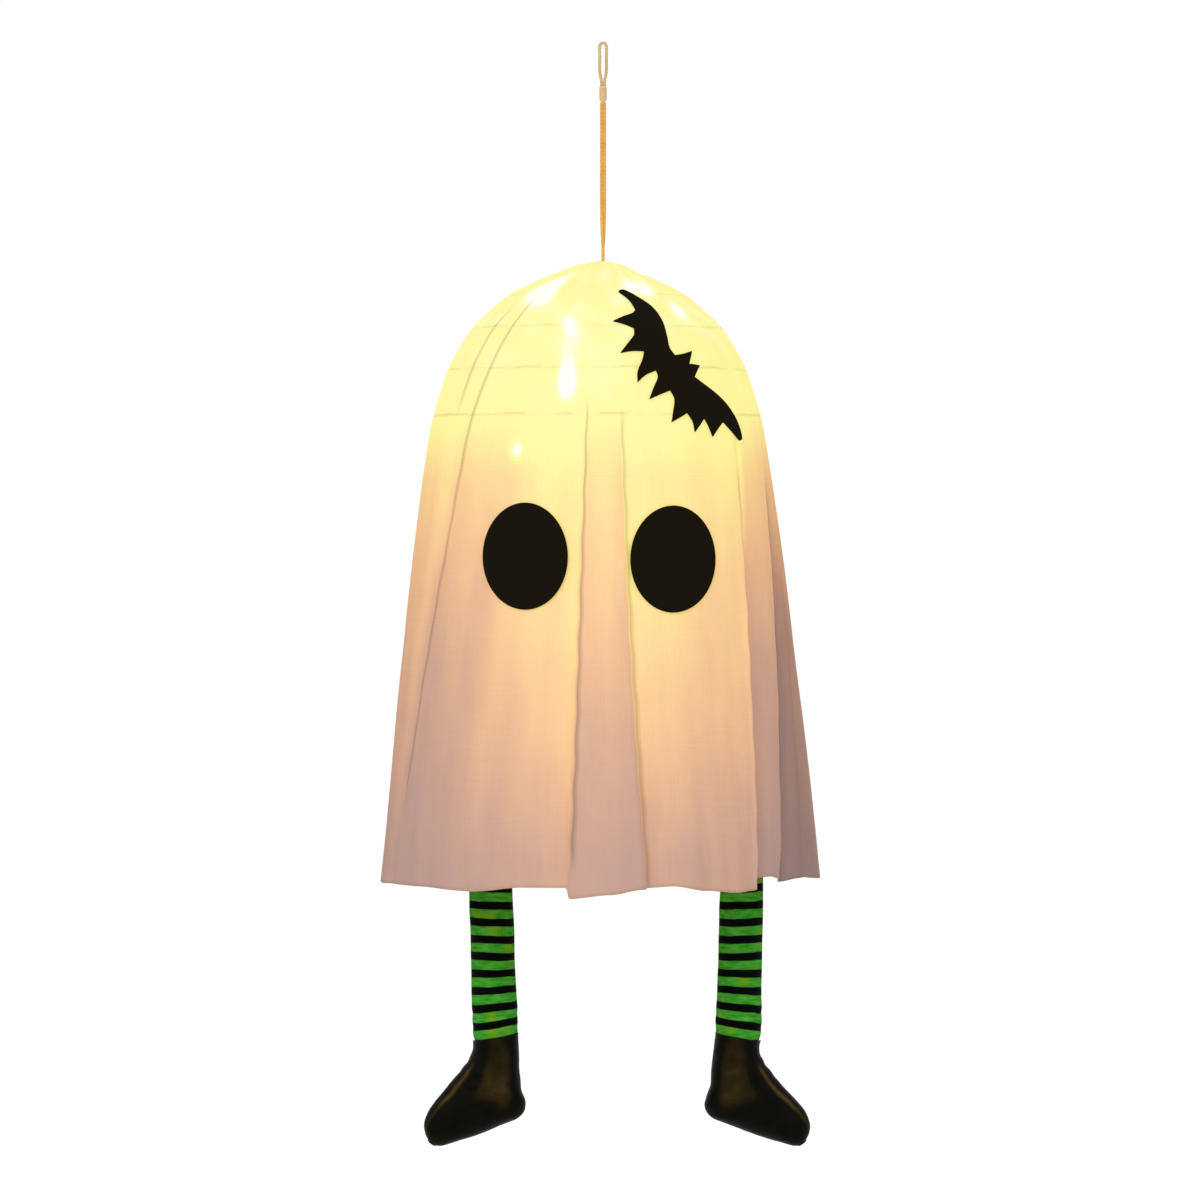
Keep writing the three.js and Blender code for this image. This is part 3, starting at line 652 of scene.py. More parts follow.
@dataclass(frozen=True)
class StripedKnit:
    """Green and black striped jersey, knitted fine and stretched over a stuffed leg."""

    name: str = "striped_jersey"
    green: str = "#2F9A1B"
    pale: str = "#5ABB45"
    yellow: str = "#7FAF14"
    black: str = "#020403"
    pitch: float = 13.4
    band: float = 6.3
    stitch: float = 1.4 * MM

    def build(self) -> Material:
        """Make the material, which reads the attribute down: millimetres down the leg.

        Returns:
            The material.
        """
        # To the eye: soft bands with wavering edges, some green ones faded to yellow, and fine
        # vertical ribs. The ribs are drawn 1.4 mm apart and are about half that on real jersey.
        material, tree, shader = principled(self.name, {"Roughness": 0.9, "Specular IOR Level": 0.05})
        place = add_node(tree, "ShaderNodeTexCoord").outputs["Object"]
        down = add_node(tree, "ShaderNodeAttribute", attribute_name="down").outputs["Fac"]
        wander = add_node(tree, "ShaderNodeTexNoise", {"Vector": place, "Scale": 55.0, "Detail": 2.0})
        shift = add_node(tree, "ShaderNodeMath", {0: wander, 1: 2.0, 2: down}, operation="MULTIPLY_ADD")
        turn = add_node(tree, "ShaderNodeMath", {0: shift, 1: self.pitch}, operation="DIVIDE")
        away = add_node(tree, "ShaderNodeMath", {0: turn, 1: 0.5}, operation="PINGPONG")
        half = 0.5 - self.band / self.pitch / 2
        soft = 0.4 / self.pitch
        edge = add_node(
            tree,
            "ShaderNodeMapRange",
            {"Value": away, "From Min": half - soft, "From Max": half + soft},
            interpolation_type="SMOOTHSTEP",
        )
        blotch = add_node(tree, "ShaderNodeTexNoise", {"Vector": place, "Scale": 38.0, "Detail": 1.0})
        patch = add_node(tree, "ShaderNodeMapRange", {"Value": blotch, "From Min": 0.62, "From Max": 0.76})
        flat = add_node(tree, "ShaderNodeUVMap", uv_map="cut")
        axes = add_node(tree, "ShaderNodeSeparateXYZ", {0: flat}).outputs
        waves = []
        for axis, spacing in (("X", self.stitch), ("Y", self.stitch * 1.2)):
            phase = add_node(
                tree, "ShaderNodeMath", {0: axes[axis], 1: FULL_TURN / spacing}, operation="MULTIPLY"
            )
            waves.append(add_node(tree, "ShaderNodeMath", {0: phase}, operation="SINE"))
        long = add_node(tree, "ShaderNodeVectorMath", {0: flat, 1: (100.0, 420.0, 1.0)}, operation="MULTIPLY")
        yarn = add_node(tree, "ShaderNodeTexNoise", {"Vector": long, "Scale": 1.0, "Detail": 2.0})
        lighter_share = add_node(tree, "ShaderNodeMapRange", {"Value": yarn, "From Min": 0.35, "From Max": 0.7})
        dyed = add_node(
            tree, "ShaderNodeMix", {0: lighter_share, 6: srgb(self.green), 7: srgb(self.pale)}, data_type="RGBA"
        )
        dyed = add_node(tree, "ShaderNodeMix", {0: patch, 6: dyed, 7: srgb(self.yellow)}, data_type="RGBA")
        mix = add_node(tree, "ShaderNodeMix", {0: edge, 6: dyed, 7: srgb(self.black)}, data_type="RGBA")
        loops = add_node(tree, "ShaderNodeMath", {0: waves[0], 1: waves[1]}, operation="MULTIPLY")
        bump = add_node(tree, "ShaderNodeBump", {"Strength": 0.3, "Distance": 0.4 * MM, "Height": loops})
        cover(shader, {"Base Color": mix.outputs[2], "Normal": bump.outputs[0]})
        return material


@dataclass(frozen=True)
class CoatedSatin:
    """Black coated satin, cut and sewn to a boot and stuffed."""

    name: str = "black_coated_satin"

    def build(self) -> Material:
        """Make the material, which reads the attribute tone: how far painted sheen and highlight lift the
        black to brown and gold.

        Returns:
            The material.
        """
        # To the eye: almost black, with a painted brown sheen on the ankle, a painted golden
        # highlight along the instep, and a dull satin gloss.
        material, tree, shader = principled(self.name, {"Roughness": 0.4, "Specular IOR Level": 0.03})
        place = add_node(tree, "ShaderNodeTexCoord").outputs["Object"]
        tone = add_node(tree, "ShaderNodeAttribute", attribute_name="tone").outputs["Fac"]
        crease = add_node(
            tree, "ShaderNodeTexNoise", {"Vector": place, "Scale": 65.0, "Detail": 3.0, "Distortion": 0.6}
        )
        grain = add_node(tree, "ShaderNodeTexVoronoi", {"Vector": place, "Scale": 900.0})
        patchy = add_node(
            tree,
            "ShaderNodeMapRange",
            {"Value": crease, "From Min": 0.3, "From Max": 0.7, "To Min": -0.12, "To Max": 0.12},
        )
        level = add_node(tree, "ShaderNodeMath", {0: tone, 1: patchy}, operation="ADD")
        # From near black through the painted brown sheen to the painted golden highlight.
        colour = add_node(tree, "ShaderNodeValToRGB", {"Fac": level})
        set_ramp(
            colour,
            [
                (0.0, (0.0015, 0.0015, 0.001)),
                (0.25, (0.0045, 0.004, 0.0012)),
                (0.55, (0.026, 0.018, 0.004)),
                (1.0, (0.1, 0.07, 0.022)),
            ],
        )
        height = add_node(tree, "ShaderNodeMath", {0: grain, 1: 0.12, 2: crease}, operation="MULTIPLY_ADD")
        bump = add_node(tree, "ShaderNodeBump", {"Strength": 0.25, "Distance": 1.5 * MM, "Height": height})
        cover(shader, {"Base Color": colour.outputs[0], "Normal": bump.outputs[0]})
        return material


@dataclass(frozen=True)
class LanternPaper:
    """White bleached lantern paper with long fibres, lit from inside."""

    name: str = "bleached_lantern_paper"

    def build(self) -> Material:
        """Make the material.

        Returns:
            The material.
        """
        # To the eye: warm white paper with faint darker clouds of fibre, and a painted glow in place of the
        # light inside it.
        material, tree, shader = principled(self.name, {"Roughness": 0.8, "Emission Strength": 0.6})
        place = add_node(tree, "ShaderNodeTexCoord").outputs["Object"]
        fibre = add_node(
            tree, "ShaderNodeTexNoise", {"Vector": place, "Scale": 220.0, "Detail": 5.0, "Roughness": 0.7}
        )
        for socket, thick, thin in (
            ("Base Color", "#EFE2BE", "#FFF9E6"),
            ("Emission Color", "#C08A3A", "#D9A856"),
        ):
            mix = add_node(
                tree, "ShaderNodeMix", {0: fibre, 6: srgb(thick), 7: srgb(thin)}, data_type="RGBA"
            )
            cover(shader, {socket: mix.outputs[2]})
        bump = add_node(tree, "ShaderNodeBump", {"Strength": 0.2, "Distance": 0.3 * MM, "Height": fibre})
        cover(shader, {"Normal": bump.outputs[0]})
        return material


@dataclass(frozen=True)
class EvenFinish:
    """One colour all over, with a grain that softens its reflections."""

    name: str
    colour: str
    roughness: float = 0.45
    metallic: float = 0.0
    grain: float = 2200.0
    detail: float = 2.0
    smoother: float = 0.06
    rougher: float = 0.08
    relief: float = 0.12

    def build(self) -> Material:
        """Make the material.

        Returns:
            The material.
        """
        constants = {"Base Color": srgb(self.colour), "Metallic": self.metallic}
        material, tree, shader = principled(self.name, constants)
        place = add_node(tree, "ShaderNodeTexCoord").outputs["Object"]
        marks = add_node(
            tree, "ShaderNodeTexNoise", {"Vector": place, "Scale": self.grain, "Detail": self.detail}
        )
        low, high = self.roughness - self.smoother, self.roughness + self.rougher
        rough = add_node(tree, "ShaderNodeMapRange", {"Value": marks, "To Min": low, "To Max": high})
        bump = add_node(
            tree, "ShaderNodeBump", {"Strength": self.relief, "Distance": 0.1 * MM, "Height": marks}
        )
        cover(shader, {"Roughness": rough.outputs[0], "Normal": bump.outputs[0]})
        return material


@dataclass(frozen=True)
class MouldedPlastic(EvenFinish):
    """Injection-moulded ABS or nylon."""

    # To the eye: one even colour with the fine matt texture of a spark-eroded mould.


@dataclass(frozen=True)
class DrawnMetal(EvenFinish):
    """Drawn or rolled metal."""

    # To the eye: a bright metal whose fine die marks soften its reflections.
    roughness: float = 0.3
    metallic: float = 1.0
    grain: float = 700.0
    detail: float = 3.0
    smoother: float = 0.08
    rougher: float = 0.12
    relief: float = 0.1


@dataclass(frozen=True)
class SpunThread:
    """Pale spun cotton thread, wound close."""

    name: str = "spun_cotton_thread"
    light: str = "#FFE3B4"
    dark: str = "#E6C084"

    def build(self) -> Material:
        """Make the material.

        Returns:
            The material.
        """
        # To the eye: pale matt cotton with a soft fuzz of darker fibres.
        material, tree, shader = principled(self.name, {"Roughness": 0.8})
        place = add_node(tree, "ShaderNodeTexCoord").outputs["Object"]
        fuzz = add_node(tree, "ShaderNodeTexNoise", {"Vector": place, "Scale": 1300.0, "Detail": 3.0})
        mix = add_node(
            tree, "ShaderNodeMix", {0: fuzz, 6: srgb(self.dark), 7: srgb(self.light)}, data_type="RGBA"
        )
        bump = add_node(tree, "ShaderNodeBump", {"Strength": 0.3, "Distance": 0.2 * MM, "Height": fuzz})
        cover(shader, {"Base Color": mix.outputs[2], "Normal": bump.outputs[0]})
        return material


@dataclass(frozen=True)
class ClearEpoxy:
    """A clear epoxy drop cast over a lit chip."""

    name: str = "lit_epoxy_drop"
    shaded: str = "#FFE9B0"
    bright: str = "#FFF6DC"

    def build(self) -> Material:
        """Make the material.

        Returns:
            The material.
        """
        # To the eye: a small warm-white light under a glossy skin.
        material, tree, shader = principled(self.name, {"Roughness": 0.12, "Emission Strength": 1.5})
        place = add_node(tree, "ShaderNodeTexCoord").outputs["Object"]
        cloud = add_node(tree, "ShaderNodeTexNoise", {"Vector": place, "Scale": 400.0})
        mix = add_node(
            tree, "ShaderNodeMix", {0: cloud, 6: srgb(self.shaded), 7: srgb(self.bright)}, data_type="RGBA"
        )
        cover(shader, {"Base Color": mix.outputs[2], "Emission Color": mix.outputs[2]})
        return material


# The sheet's form, shared by everything that lies on it


@dataclass(frozen=True)
class SheetForm:
    """The sheet's surface as azimuth and height, in millimetres and degrees."""

    dome_radius: float = 127.0
    pitch: float = HOOP_PITCH
    centre_z: float = LANTERN_Z
    centre_x: float = LANTERN_X
    hem_x: float = -1.8
    waist_radius: float = 129.4
    flare: float = 44.0
    hem_h: float = -355.0

    @property
    def shoulder_h(self) -> float:
        """Height above the lantern's centre where the sheet starts to leave the sphere."""
        return self.dome_radius * math.cos(math.radians(4 * self.pitch))

    @property
    def waist_h(self) -> float:
        """Height where the skirt starts."""
        return self.dome_radius * math.cos(math.radians(5 * self.pitch))

    def fall(self, h: np.ndarray) -> np.ndarray:
        """Share of the way from waist to hem, 0 above the waist."""
        return np.clip((self.waist_h - h) / (self.waist_h - self.hem_h), 0, 1.1)

    def axis_x(self, h: np.ndarray) -> np.ndarray:
        """How far to the side the sheet's axis lies at a height above the lantern's centre."""
        return self.centre_x + (self.hem_x - self.centre_x) * self.fall(h)

    def profile(self, h: np.ndarray) -> np.ndarray:
        """Radius of the sheet at a height above the lantern's centre.

        Args:
            h: heights.

        Returns:
            The radii.
        """
        h = np.asarray(h, dtype=float)
        sphere = np.sqrt(np.maximum(self.dome_radius**2 - h**2, 0))
        at_waist = math.sqrt(self.dome_radius**2 - self.waist_h**2)
        t = (self.shoulder_h - h) / (self.shoulder_h - self.waist_h)
        blend = sphere + (self.waist_radius - at_waist) * np.clip(t, 0, 1) ** 2
        skirt = self.waist_radius + self.flare * self.fall(h) ** 0.82
        return np.where(h >= self.waist_h, blend, skirt)

    def place(self, azimuth: np.ndarray, h: np.ndarray, out: Any = 0.0, inset: Any = 0.0) -> np.ndarray:
        """Points on the sheet, moved out along its normal.

        Args:
            azimuth: degrees from the front, positive to the viewer's right.
            h: heights above the lantern's centre.
            out: distance outwards.
            inset: depth of a fold at the hem, less above.

        Returns:
            The points, in millimetres.
        """
        azimuth, h = np.broadcast_arrays(np.asarray(azimuth, dtype=float), np.asarray(h, dtype=float))
        slope = self.profile(h - 0.5) - self.profile(h + 0.5)
        length = np.hypot(1, slope)
        fall = self.fall(h)
        r = self.profile(h) - inset * fall**0.85 + out / length
        a = np.radians(azimuth)
        x = self.axis_x(h) + r * np.sin(a)
        return np.stack([x, -r * np.cos(a), self.centre_z + h + out * slope / length], axis=-1)


@dataclass(frozen=True)
class Fold:
    """A crest or a valley that runs down the sheet.

    Azimuths are in degrees from the front, positive to the viewer's right, and distances in
    millimetres. Heights are above the lantern's centre.

    waist and hem are its azimuths there. inset is its depth at the hem and lift the hem's rise.
    light is the share of the painted glow it keeps low down, and shade how much painted shade darkens it.
    turn is how far it leans over the dome and bulge how far it bows half way down. line is the
    strength of painted shade along a sharp crease between the heights low and high, and ridge the crease's
    height.
    """

    waist: float
    hem: float
    inset: float = 0.0
    lift: float = 0.0
    light: float = 1.0
    shade: float = 0.0
    turn: float = 0.0
    bulge: float = 0.0
    line: float = 0.0
    low: float = -365.0
    high: float = 5.0
    ridge: float = 0.0


# From the back by the left side, the front and the right side
FOLDS = (
    Fold(-174, -174, 3, 0, 0.8),
    Fold(-160, -160, 12, 1, 0.62, 0.3),
    Fold(-147, -148, 0, 0, 0.84),
    Fold(-134, -134, 14, 2, 0.6, 0.3),
    Fold(-121, -121, 0, -1, 0.84),
    Fold(-108, -109, 9, 1, 0.66, 0.3),
    Fold(-95, -96, 0, 0, 0.78),
    Fold(-80, -88, 0, -2, 0.66, 0.3),
    Fold(-64, -82, 1, -2, 0.7, 0.25, turn=3),
    Fold(-57, -80.2, 5, -2, 0.74, turn=5, line=0.9, low=12, high=100, ridge=1.1),
    Fold(-48, -78, 9, -2, 0.6, turn=9, line=1.0, high=112, ridge=1.5),
    Fold(-42, -71, 2, -1, 0.64, turn=8),
    Fold(-31, -53, 0, -1, 0.68, turn=5),
    Fold(-20, -35, 0, -3, 0.92, turn=2),
    Fold(-11, -20, 1, 1, 1.04),
    Fold(-4.8, -9, 3, 1, 1.1),
    Fold(-3.6, -7.6, -5, -7, 0.8, line=1.0, low=-340, high=22),
    Fold(2.5, 2, -6, -4, 0.84),
    Fold(7, 11, -5, 0, 0.74, bulge=-0.7),
    Fold(8.2, 12.3, 3, 1, 1.08, bulge=-0.7, line=0.75, high=15),
    Fold(14, 19, 1, 2, 1.06),
    Fold(25, 28, 0, -2, 1.0),
    Fold(37, 37, 0, -4, 0.96),
    Fold(48, 43, 0, -3, 0.92, bulge=1.2),
    Fold(52.5, 43.6, -2, -2, 0.9, bulge=0.5),
    Fold(54.5, 45, 9, 6, 0.6, bulge=0.5, line=0.7, high=-30),
    Fold(64, 51, 3, 7, 0.6),
    Fold(74.5, 56, 5, 5, 0.58, bulge=1.2),
    Fold(76.5, 57.4, 9, 2, 0.34, 0.8, bulge=1.2, line=0.8, high=-40),
    Fold(82, 64, 3, 4, 0.42, 0.9),
    Fold(85.5, 67.5, 2, 4.5, 0.36, 1.0),
    Fold(87.5, 70.5, 7, 4, 0.42, 0.8, line=1.0, high=-110),
    Fold(95, 82, 0, 2, 0.5, 0.8),
    Fold(101, 97, 0, 1, 0.66, 0.2),
    Fold(112, 110, 10, 2, 0.6, 0.3),
    Fold(124, 123, 0, 0, 0.84),
    Fold(136, 136, 14, 2, 0.6, 0.3),
    Fold(149, 149, 0, -1, 0.84),
    Fold(162, 162, 12, 1, 0.62, 0.3),
    Fold(173, 173, 2, 0, 0.8),
)


@dataclass(frozen=True)
class Spot:
    """A bright spot that a light makes on the sheet, in degrees and millimetres."""

    azimuth: float
    height: float
    width: float
    tall: float
    strength: float


SPOTS = (
    Spot(-11, 35, 8, 14, 0.2),
    Spot(-27.5, -18, 5.5, 6.5, 0.33),
    Spot(-38, 105, 15, 13, 0.2),
    Spot(31, 110, 13, 7, 0.14),
    Spot(46, 92, 9, 8, 0.15),
    Spot(-11, 58, 8, 28, 0.1),
    Spot(-14, 86, 9, 14, 0.06),
    Spot(-20, 0, 26, 26, 0.04),
    Spot(150, 60, 14, 14, 0.14),
    Spot(-130, 30, 12, 12, 0.14),
    Spot(110, 20, 12, 12, 0.12),
    Spot(170, -15, 8, 8, 0.16),
)


@dataclass
class SheetRows:
    """Rows of the sheet's mesh from the top down, with what its material reads."""

    points: list[np.ndarray] = field(default_factory=list)
    glow: list[np.ndarray] = field(default_factory=list)
    shade: list[np.ndarray] = field(default_factory=list)
    line: list[np.ndarray] = field(default_factory=list)
    cut: list[np.ndarray] = field(default_factory=list)


@dataclass
class Sheet:
    """The draped sheet with its pleat, folds, creases and hem."""

    form: SheetForm = field(default_factory=SheetForm)
    hole_radius: float = 5.0
    tent_rise: float = 11.4
    thickness: float = 0.5
    sag: float = 0.5
    column: float = 1.35
    dome_step: float = 1.71
    skirt_rows: int = 100
    cut_radius: float = 150.0
    cut_width: float = 1.19
    cut_length: float = 0.575
    cut_area: float = 0.53
    lean_height: float = 89.0
    lean_limit: float = 1.25
    peak_rows: int = 8
    peak_step: float = 4.6
    peak_bend: float = 19.5
    peak_bend_share: float = 0.72
    pucker: float = 0.35
    ridge_spread: float = 5.5

    def columns(self) -> dict[str, np.ndarray]:
        """Fine columns between the folds, eased so that each fold is rounded.

        Returns:
            The folds' figures, one value a column, by the names of Fold's fields.
        """
        names = [f.name for f in fields(Fold)]
        table = np.array([astuple(fold) for fold in FOLDS])
        again = table[0].copy()
        again[:2] += 360
        sharp = names.index("line")
        rows = []
        for a, b in zip(table, [*table[1:], again]):
            widest = max(b[0] - a[0], b[1] - a[1])
            count = max(4, int(round(widest / self.column)))
            for w in np.arange(count) / count:
                row = a + (b - a) * w * w * (3 - 2 * w)
                row[:2] = a[:2] + (b[:2] - a[:2]) * w
                row[sharp] = a[sharp] if w == 0 else 0
                rows.append(row)
        return dict(zip(names, np.array(rows).T))

    def lean(self, h: float) -> float:
        """How much of its lean over the dome a fold has at a height above the lantern's centre."""
        return min(max((h - self.form.waist_h) / self.lean_height, 0.0), self.lean_limit)

    def azimuth_at(self, cols: dict[str, np.ndarray], h: float, s: float) -> np.ndarray:
        """Azimuth of each column at a height.

        Args:
            cols: the columns.
            h: height above the lantern's centre.
            s: share of the way from waist to hem.

        Returns:
            The azimuths, in degrees.
        """
        down = (cols["hem"] - cols["waist"]) * s + cols["bulge"] * math.sin(math.pi * s)
        return cols["waist"] + cols["turn"] * self.lean(h) + down + 0.15 * math.sin(h / 6)

    def light_at(self, azimuth: np.ndarray, h: np.ndarray, keep: np.ndarray) -> np.ndarray:
        """How strongly the sheet's painted glow shines, from 0 to about 1.

        Args:
            azimuth: degrees.
            h: heights above the lantern's centre.
            keep: share of light that each column lets through.

        Returns:
            The glow.
        """
        # The painted glow grows from the hem to the lantern's middle and stays even over the dome.
        heights = [-365, -340, -253, -166, -79, -40, -16, 23, 79, 130]
        levels = [0.3, 0.31, 0.45, 0.58, 0.665, 0.7, 0.76, 0.85, 0.87, 0.86]
        kept = 1 + (keep - 1) * np.clip((26 - h) / 195, 0, 1) ** 0.8
        glow = np.interp(h, heights, levels) * kept
        for spot in SPOTS:
            turn = (azimuth - spot.azimuth + 180) % 360 - 180
            across = np.radians(turn) * self.form.profile(h)
            far = (across / spot.width) ** 2 + ((h - spot.height) / spot.tall) ** 2
            glow = glow + spot.strength * np.exp(-(far**1.4))
        # Soft brighter and darker patches of painted glow where the cloth is crumpled on the dome.
        a = np.radians(azimuth)
        patch = np.sin(9 * a + 2 * np.sin(h / 13)) * np.sin(h / 7 + 3 * np.sin(4 * a + 1))
        glow = glow + 0.05 * patch * np.clip((h - 30) / 60, 0, 1)
        # A painted bright strip where one layer of cloth hangs clear beside the right-hand fold.
        middle = np.interp(h, [-150, 15], [49.5, 57.5])
        width = np.interp(h, [-150, 15], [1.8, 4])
        span = np.interp(h, [-165, -130, 0, 25], [0, 1, 1, 0])
        across = np.radians(azimuth - middle) * self.form.profile(h)
        return glow + 0.13 * span * np.exp(-((across / width) ** 2))

    def wrinkles(self, azimuth: np.ndarray, h: np.ndarray) -> np.ndarray:
        """Small height of the fine wrinkles, in millimetres.

        Args:
            azimuth: degrees.
            h: heights above the lantern's centre.

        Returns:
            The heights.
        """
        a = np.radians(azimuth)
        fine = 0.5 * np.sin(31 * a + 2.2 * np.sin(h / 61)) + 0.35 * np.sin(53 * a + 1.0 + h / 83)
        fine += 0.3 * np.sin(17 * a - h / 47)
        small = 0.22 * np.sin(40 * a + h / 9) * np.clip((h - 20) / 100, 0, 1)
        return fine * (0.25 + 0.75 * self.form.fall(h)) + small

    def ridges(self, azimuth: np.ndarray, h: float) -> np.ndarray:
        """Height of the creases that stand up on the dome.

        Args:
            azimuth: degrees.
            h: height above the lantern's centre.

        Returns:
            The heights.
        """
        total = np.zeros_like(azimuth)
        up = self.lean(h)
        for fold in FOLDS:
            low, high = max(fold.low, -30), fold.high
            span = np.interp(h, [low - 10, low + 8, high - 15, high], [0, 1, 1, 0])
            if fold.ridge > 0 and span > 0:
                s = self.form.fall(h)
                middle = fold.waist + fold.turn * up + (fold.hem - fold.waist) * s + 0.15 * math.sin(h / 6)
                across = np.radians(azimuth - middle) * self.form.profile(h)
                total += fold.ridge * span * np.exp(-(across**2) / self.ridge_spread)
        return total

    def lay_row(
        self,
        rows: SheetRows,
        cols: dict[str, np.ndarray],
        points: np.ndarray,
        azimuth: np.ndarray,
        h: np.ndarray,
        run: float,
    ) -> None:
        """Add one row of points with its painted glow, painted shade, painted crease shade and place in the
        flat cloth.

        Args:
            rows: the rows so far.
            cols: the columns.
            points: the row's points, in millimetres.
            azimuth: its azimuths.
            h: its heights above the lantern's centre.
            run: distance down the cloth.
        """
        rows.points.append(points)
        rows.glow.append(self.light_at(azimuth, h, cols["light"]))
        rows.shade.append(cols["shade"] * np.clip(self.form.fall(h) * 3, 0, 1))
        fade = np.clip((h - cols["low"]) / 15, 0, 1) * np.clip((cols["high"] - h) / 15, 0, 1)
        rows.line.append(cols["line"] * fade)
        rows.cut.append(np.stack([np.radians(azimuth) * self.cut_radius, np.full(len(h), run)], axis=-1))

    def lay_rows(self, cols: dict[str, np.ndarray]) -> SheetRows:
        """All rows: the peak round the cord, the dome over the lantern and the skirt.

        Args:
            cols: the columns.

        Returns:
            The rows.
        """
        form = self.form
        rows = SheetRows()
        count = len(cols["waist"])
        edge_h = form.dome_radius * math.cos(math.radians(form.pitch))
        edge_r = form.dome_radius * math.sin(math.radians(form.pitch))
        run = 0.0
        bends = [self.hole_radius, self.peak_bend, edge_r]
        rises = [self.tent_rise, self.tent_rise * self.peak_bend_share, 0]
        for s in np.linspace(0, 1, self.peak_rows + 1)[:-1]:
            radius = self.hole_radius + (edge_r - self.hole_radius) * s
            rise = np.interp(radius, bends, rises)
            azimuth = self.azimuth_at(cols, edge_h, 0)
            a = np.radians(azimuth)
            pucker = self.pucker * np.sin(18 * a) * math.sin(math.pi * s)
            x = form.centre_x * min(radius / 30, 1) + radius * np.sin(a)
            points = np.stack([x, -radius * np.cos(a), form.centre_z + edge_h + rise + pucker], axis=-1)
            self.lay_row(rows, cols, points, azimuth, np.full(count, edge_h + rise), run)
            run += self.peak_step
        for degrees in np.arange(form.pitch, 5 * form.pitch - 0.01, self.dome_step):
            h = form.dome_radius * math.cos(math.radians(degrees))
            azimuth = self.azimuth_at(cols, h, 0)
            sag = self.sag * (1 - math.cos(math.radians(360 * degrees / form.pitch))) / 2
            heights = np.full(count, h)
            out = self.ridges(azimuth, h) + self.wrinkles(azimuth, heights) - sag
            self.lay_row(rows, cols, form.place(azimuth, heights, out), azimuth, heights, run)
            run += math.radians(self.dome_step) * form.dome_radius
        for s in np.linspace(0, 1, self.skirt_rows) ** 0.96:
            heights = form.waist_h + (form.hem_h + cols["lift"] - form.waist_h) * s
            middle = form.waist_h + (form.hem_h - form.waist_h) * s
            azimuth = self.azimuth_at(cols, middle, s)
            out = self.ridges(azimuth, middle) + self.wrinkles(azimuth, heights)
            ring = form.place(azimuth, heights, out, cols["inset"])
            ring[:, 2] = form.centre_z + heights
            self.lay_row(rows, cols, ring, azimuth, heights, run)
            run += (form.waist_h - form.hem_h) / self.skirt_rows
        return rows

    def build(self) -> Object:
        """Make the sheet.

        Returns:
            The sheet's object.
        """
        form = self.form
        cols = self.columns()
        rows = self.lay_rows(cols)
        count = len(cols["waist"])
        quads = [quad[::-1] for quad in grid_faces(len(rows.points), count, True)]
        obj = mesh_piece("sheet", np.vstack(rows.points) * MM, quads)
        # glow is painted light, shade is painted shade, and line is painted shade along creases.
        for name in ("glow", "shade", "line"):
            add_attribute(obj, name, np.concatenate(getattr(rows, name)))
        flat = np.vstack(rows.cut)[corners_of(obj)].reshape(-1, count, 4, 2)
        flat[:, -1, 1:3, 0] += FULL_TURN * self.cut_radius
        layer = obj.data.uv_layers.new(name="cut")
        layer.data.foreach_set("uv", (flat * MM).astype(np.float32).ravel())
        thicken(obj, self.thickness)
        centre = (form.centre_x * MM, 0.0, form.centre_z * MM)
        dress(obj, LitVoile().build(centre, math.radians(form.pitch)))
        install(obj, "ghost", ["ghost_cloth"])
        return obj


@dataclass
class FeltEye:
    """An oval felt eye that lies on the sheet."""

    name: str
    node: str
    azimuth: float
    height: float
    width: float = 65.3
    tall: float = 82.5
    thickness: float = 1.4
    gap: float = 0.55
    rounding: float = 0.35
    sides: int = 112

    def build(self, form: SheetForm, material: Material) -> Object:
        """Make the eye.

        Args:
            form: the sheet that it lies on.
            material: the felt.

        Returns:
            The eye's object.
        """
        middle = form.place(self.azimuth, self.height, self.gap)
        steps = [0.1, 0.25, 0.4, 0.55, 0.7, 0.82, 0.91, 0.97, 1.0]
        around = round_angles(self.sides)
        wobble = 1 + 0.003 * np.sin(3 * around + self.azimuth)
        rings = []
        for side in (1, -1):
            for s in steps if side > 0 else reversed(steps):
                h = self.height + self.tall / 2 * s * np.sin(around) * wobble
                x = middle[0] + self.width / 2 * s * np.cos(around) * wobble
                azimuth = np.degrees(np.arcsin((x - form.axis_x(h)) / form.profile(h)))
                rounded = self.rounding * max(0.0, (s - 0.9) / 0.1) ** 2
                out = self.gap + (self.thickness - rounded if side > 0 else rounded / 2)
                rings.append(form.place(azimuth, h, out))
        front = form.place(self.azimuth, self.height, self.gap + self.thickness)
        obj = closed_tube(self.name, np.array(rings) * MM, front * MM, middle * MM)
        dress(obj, material)
        return install(obj, "ghost", [self.node])


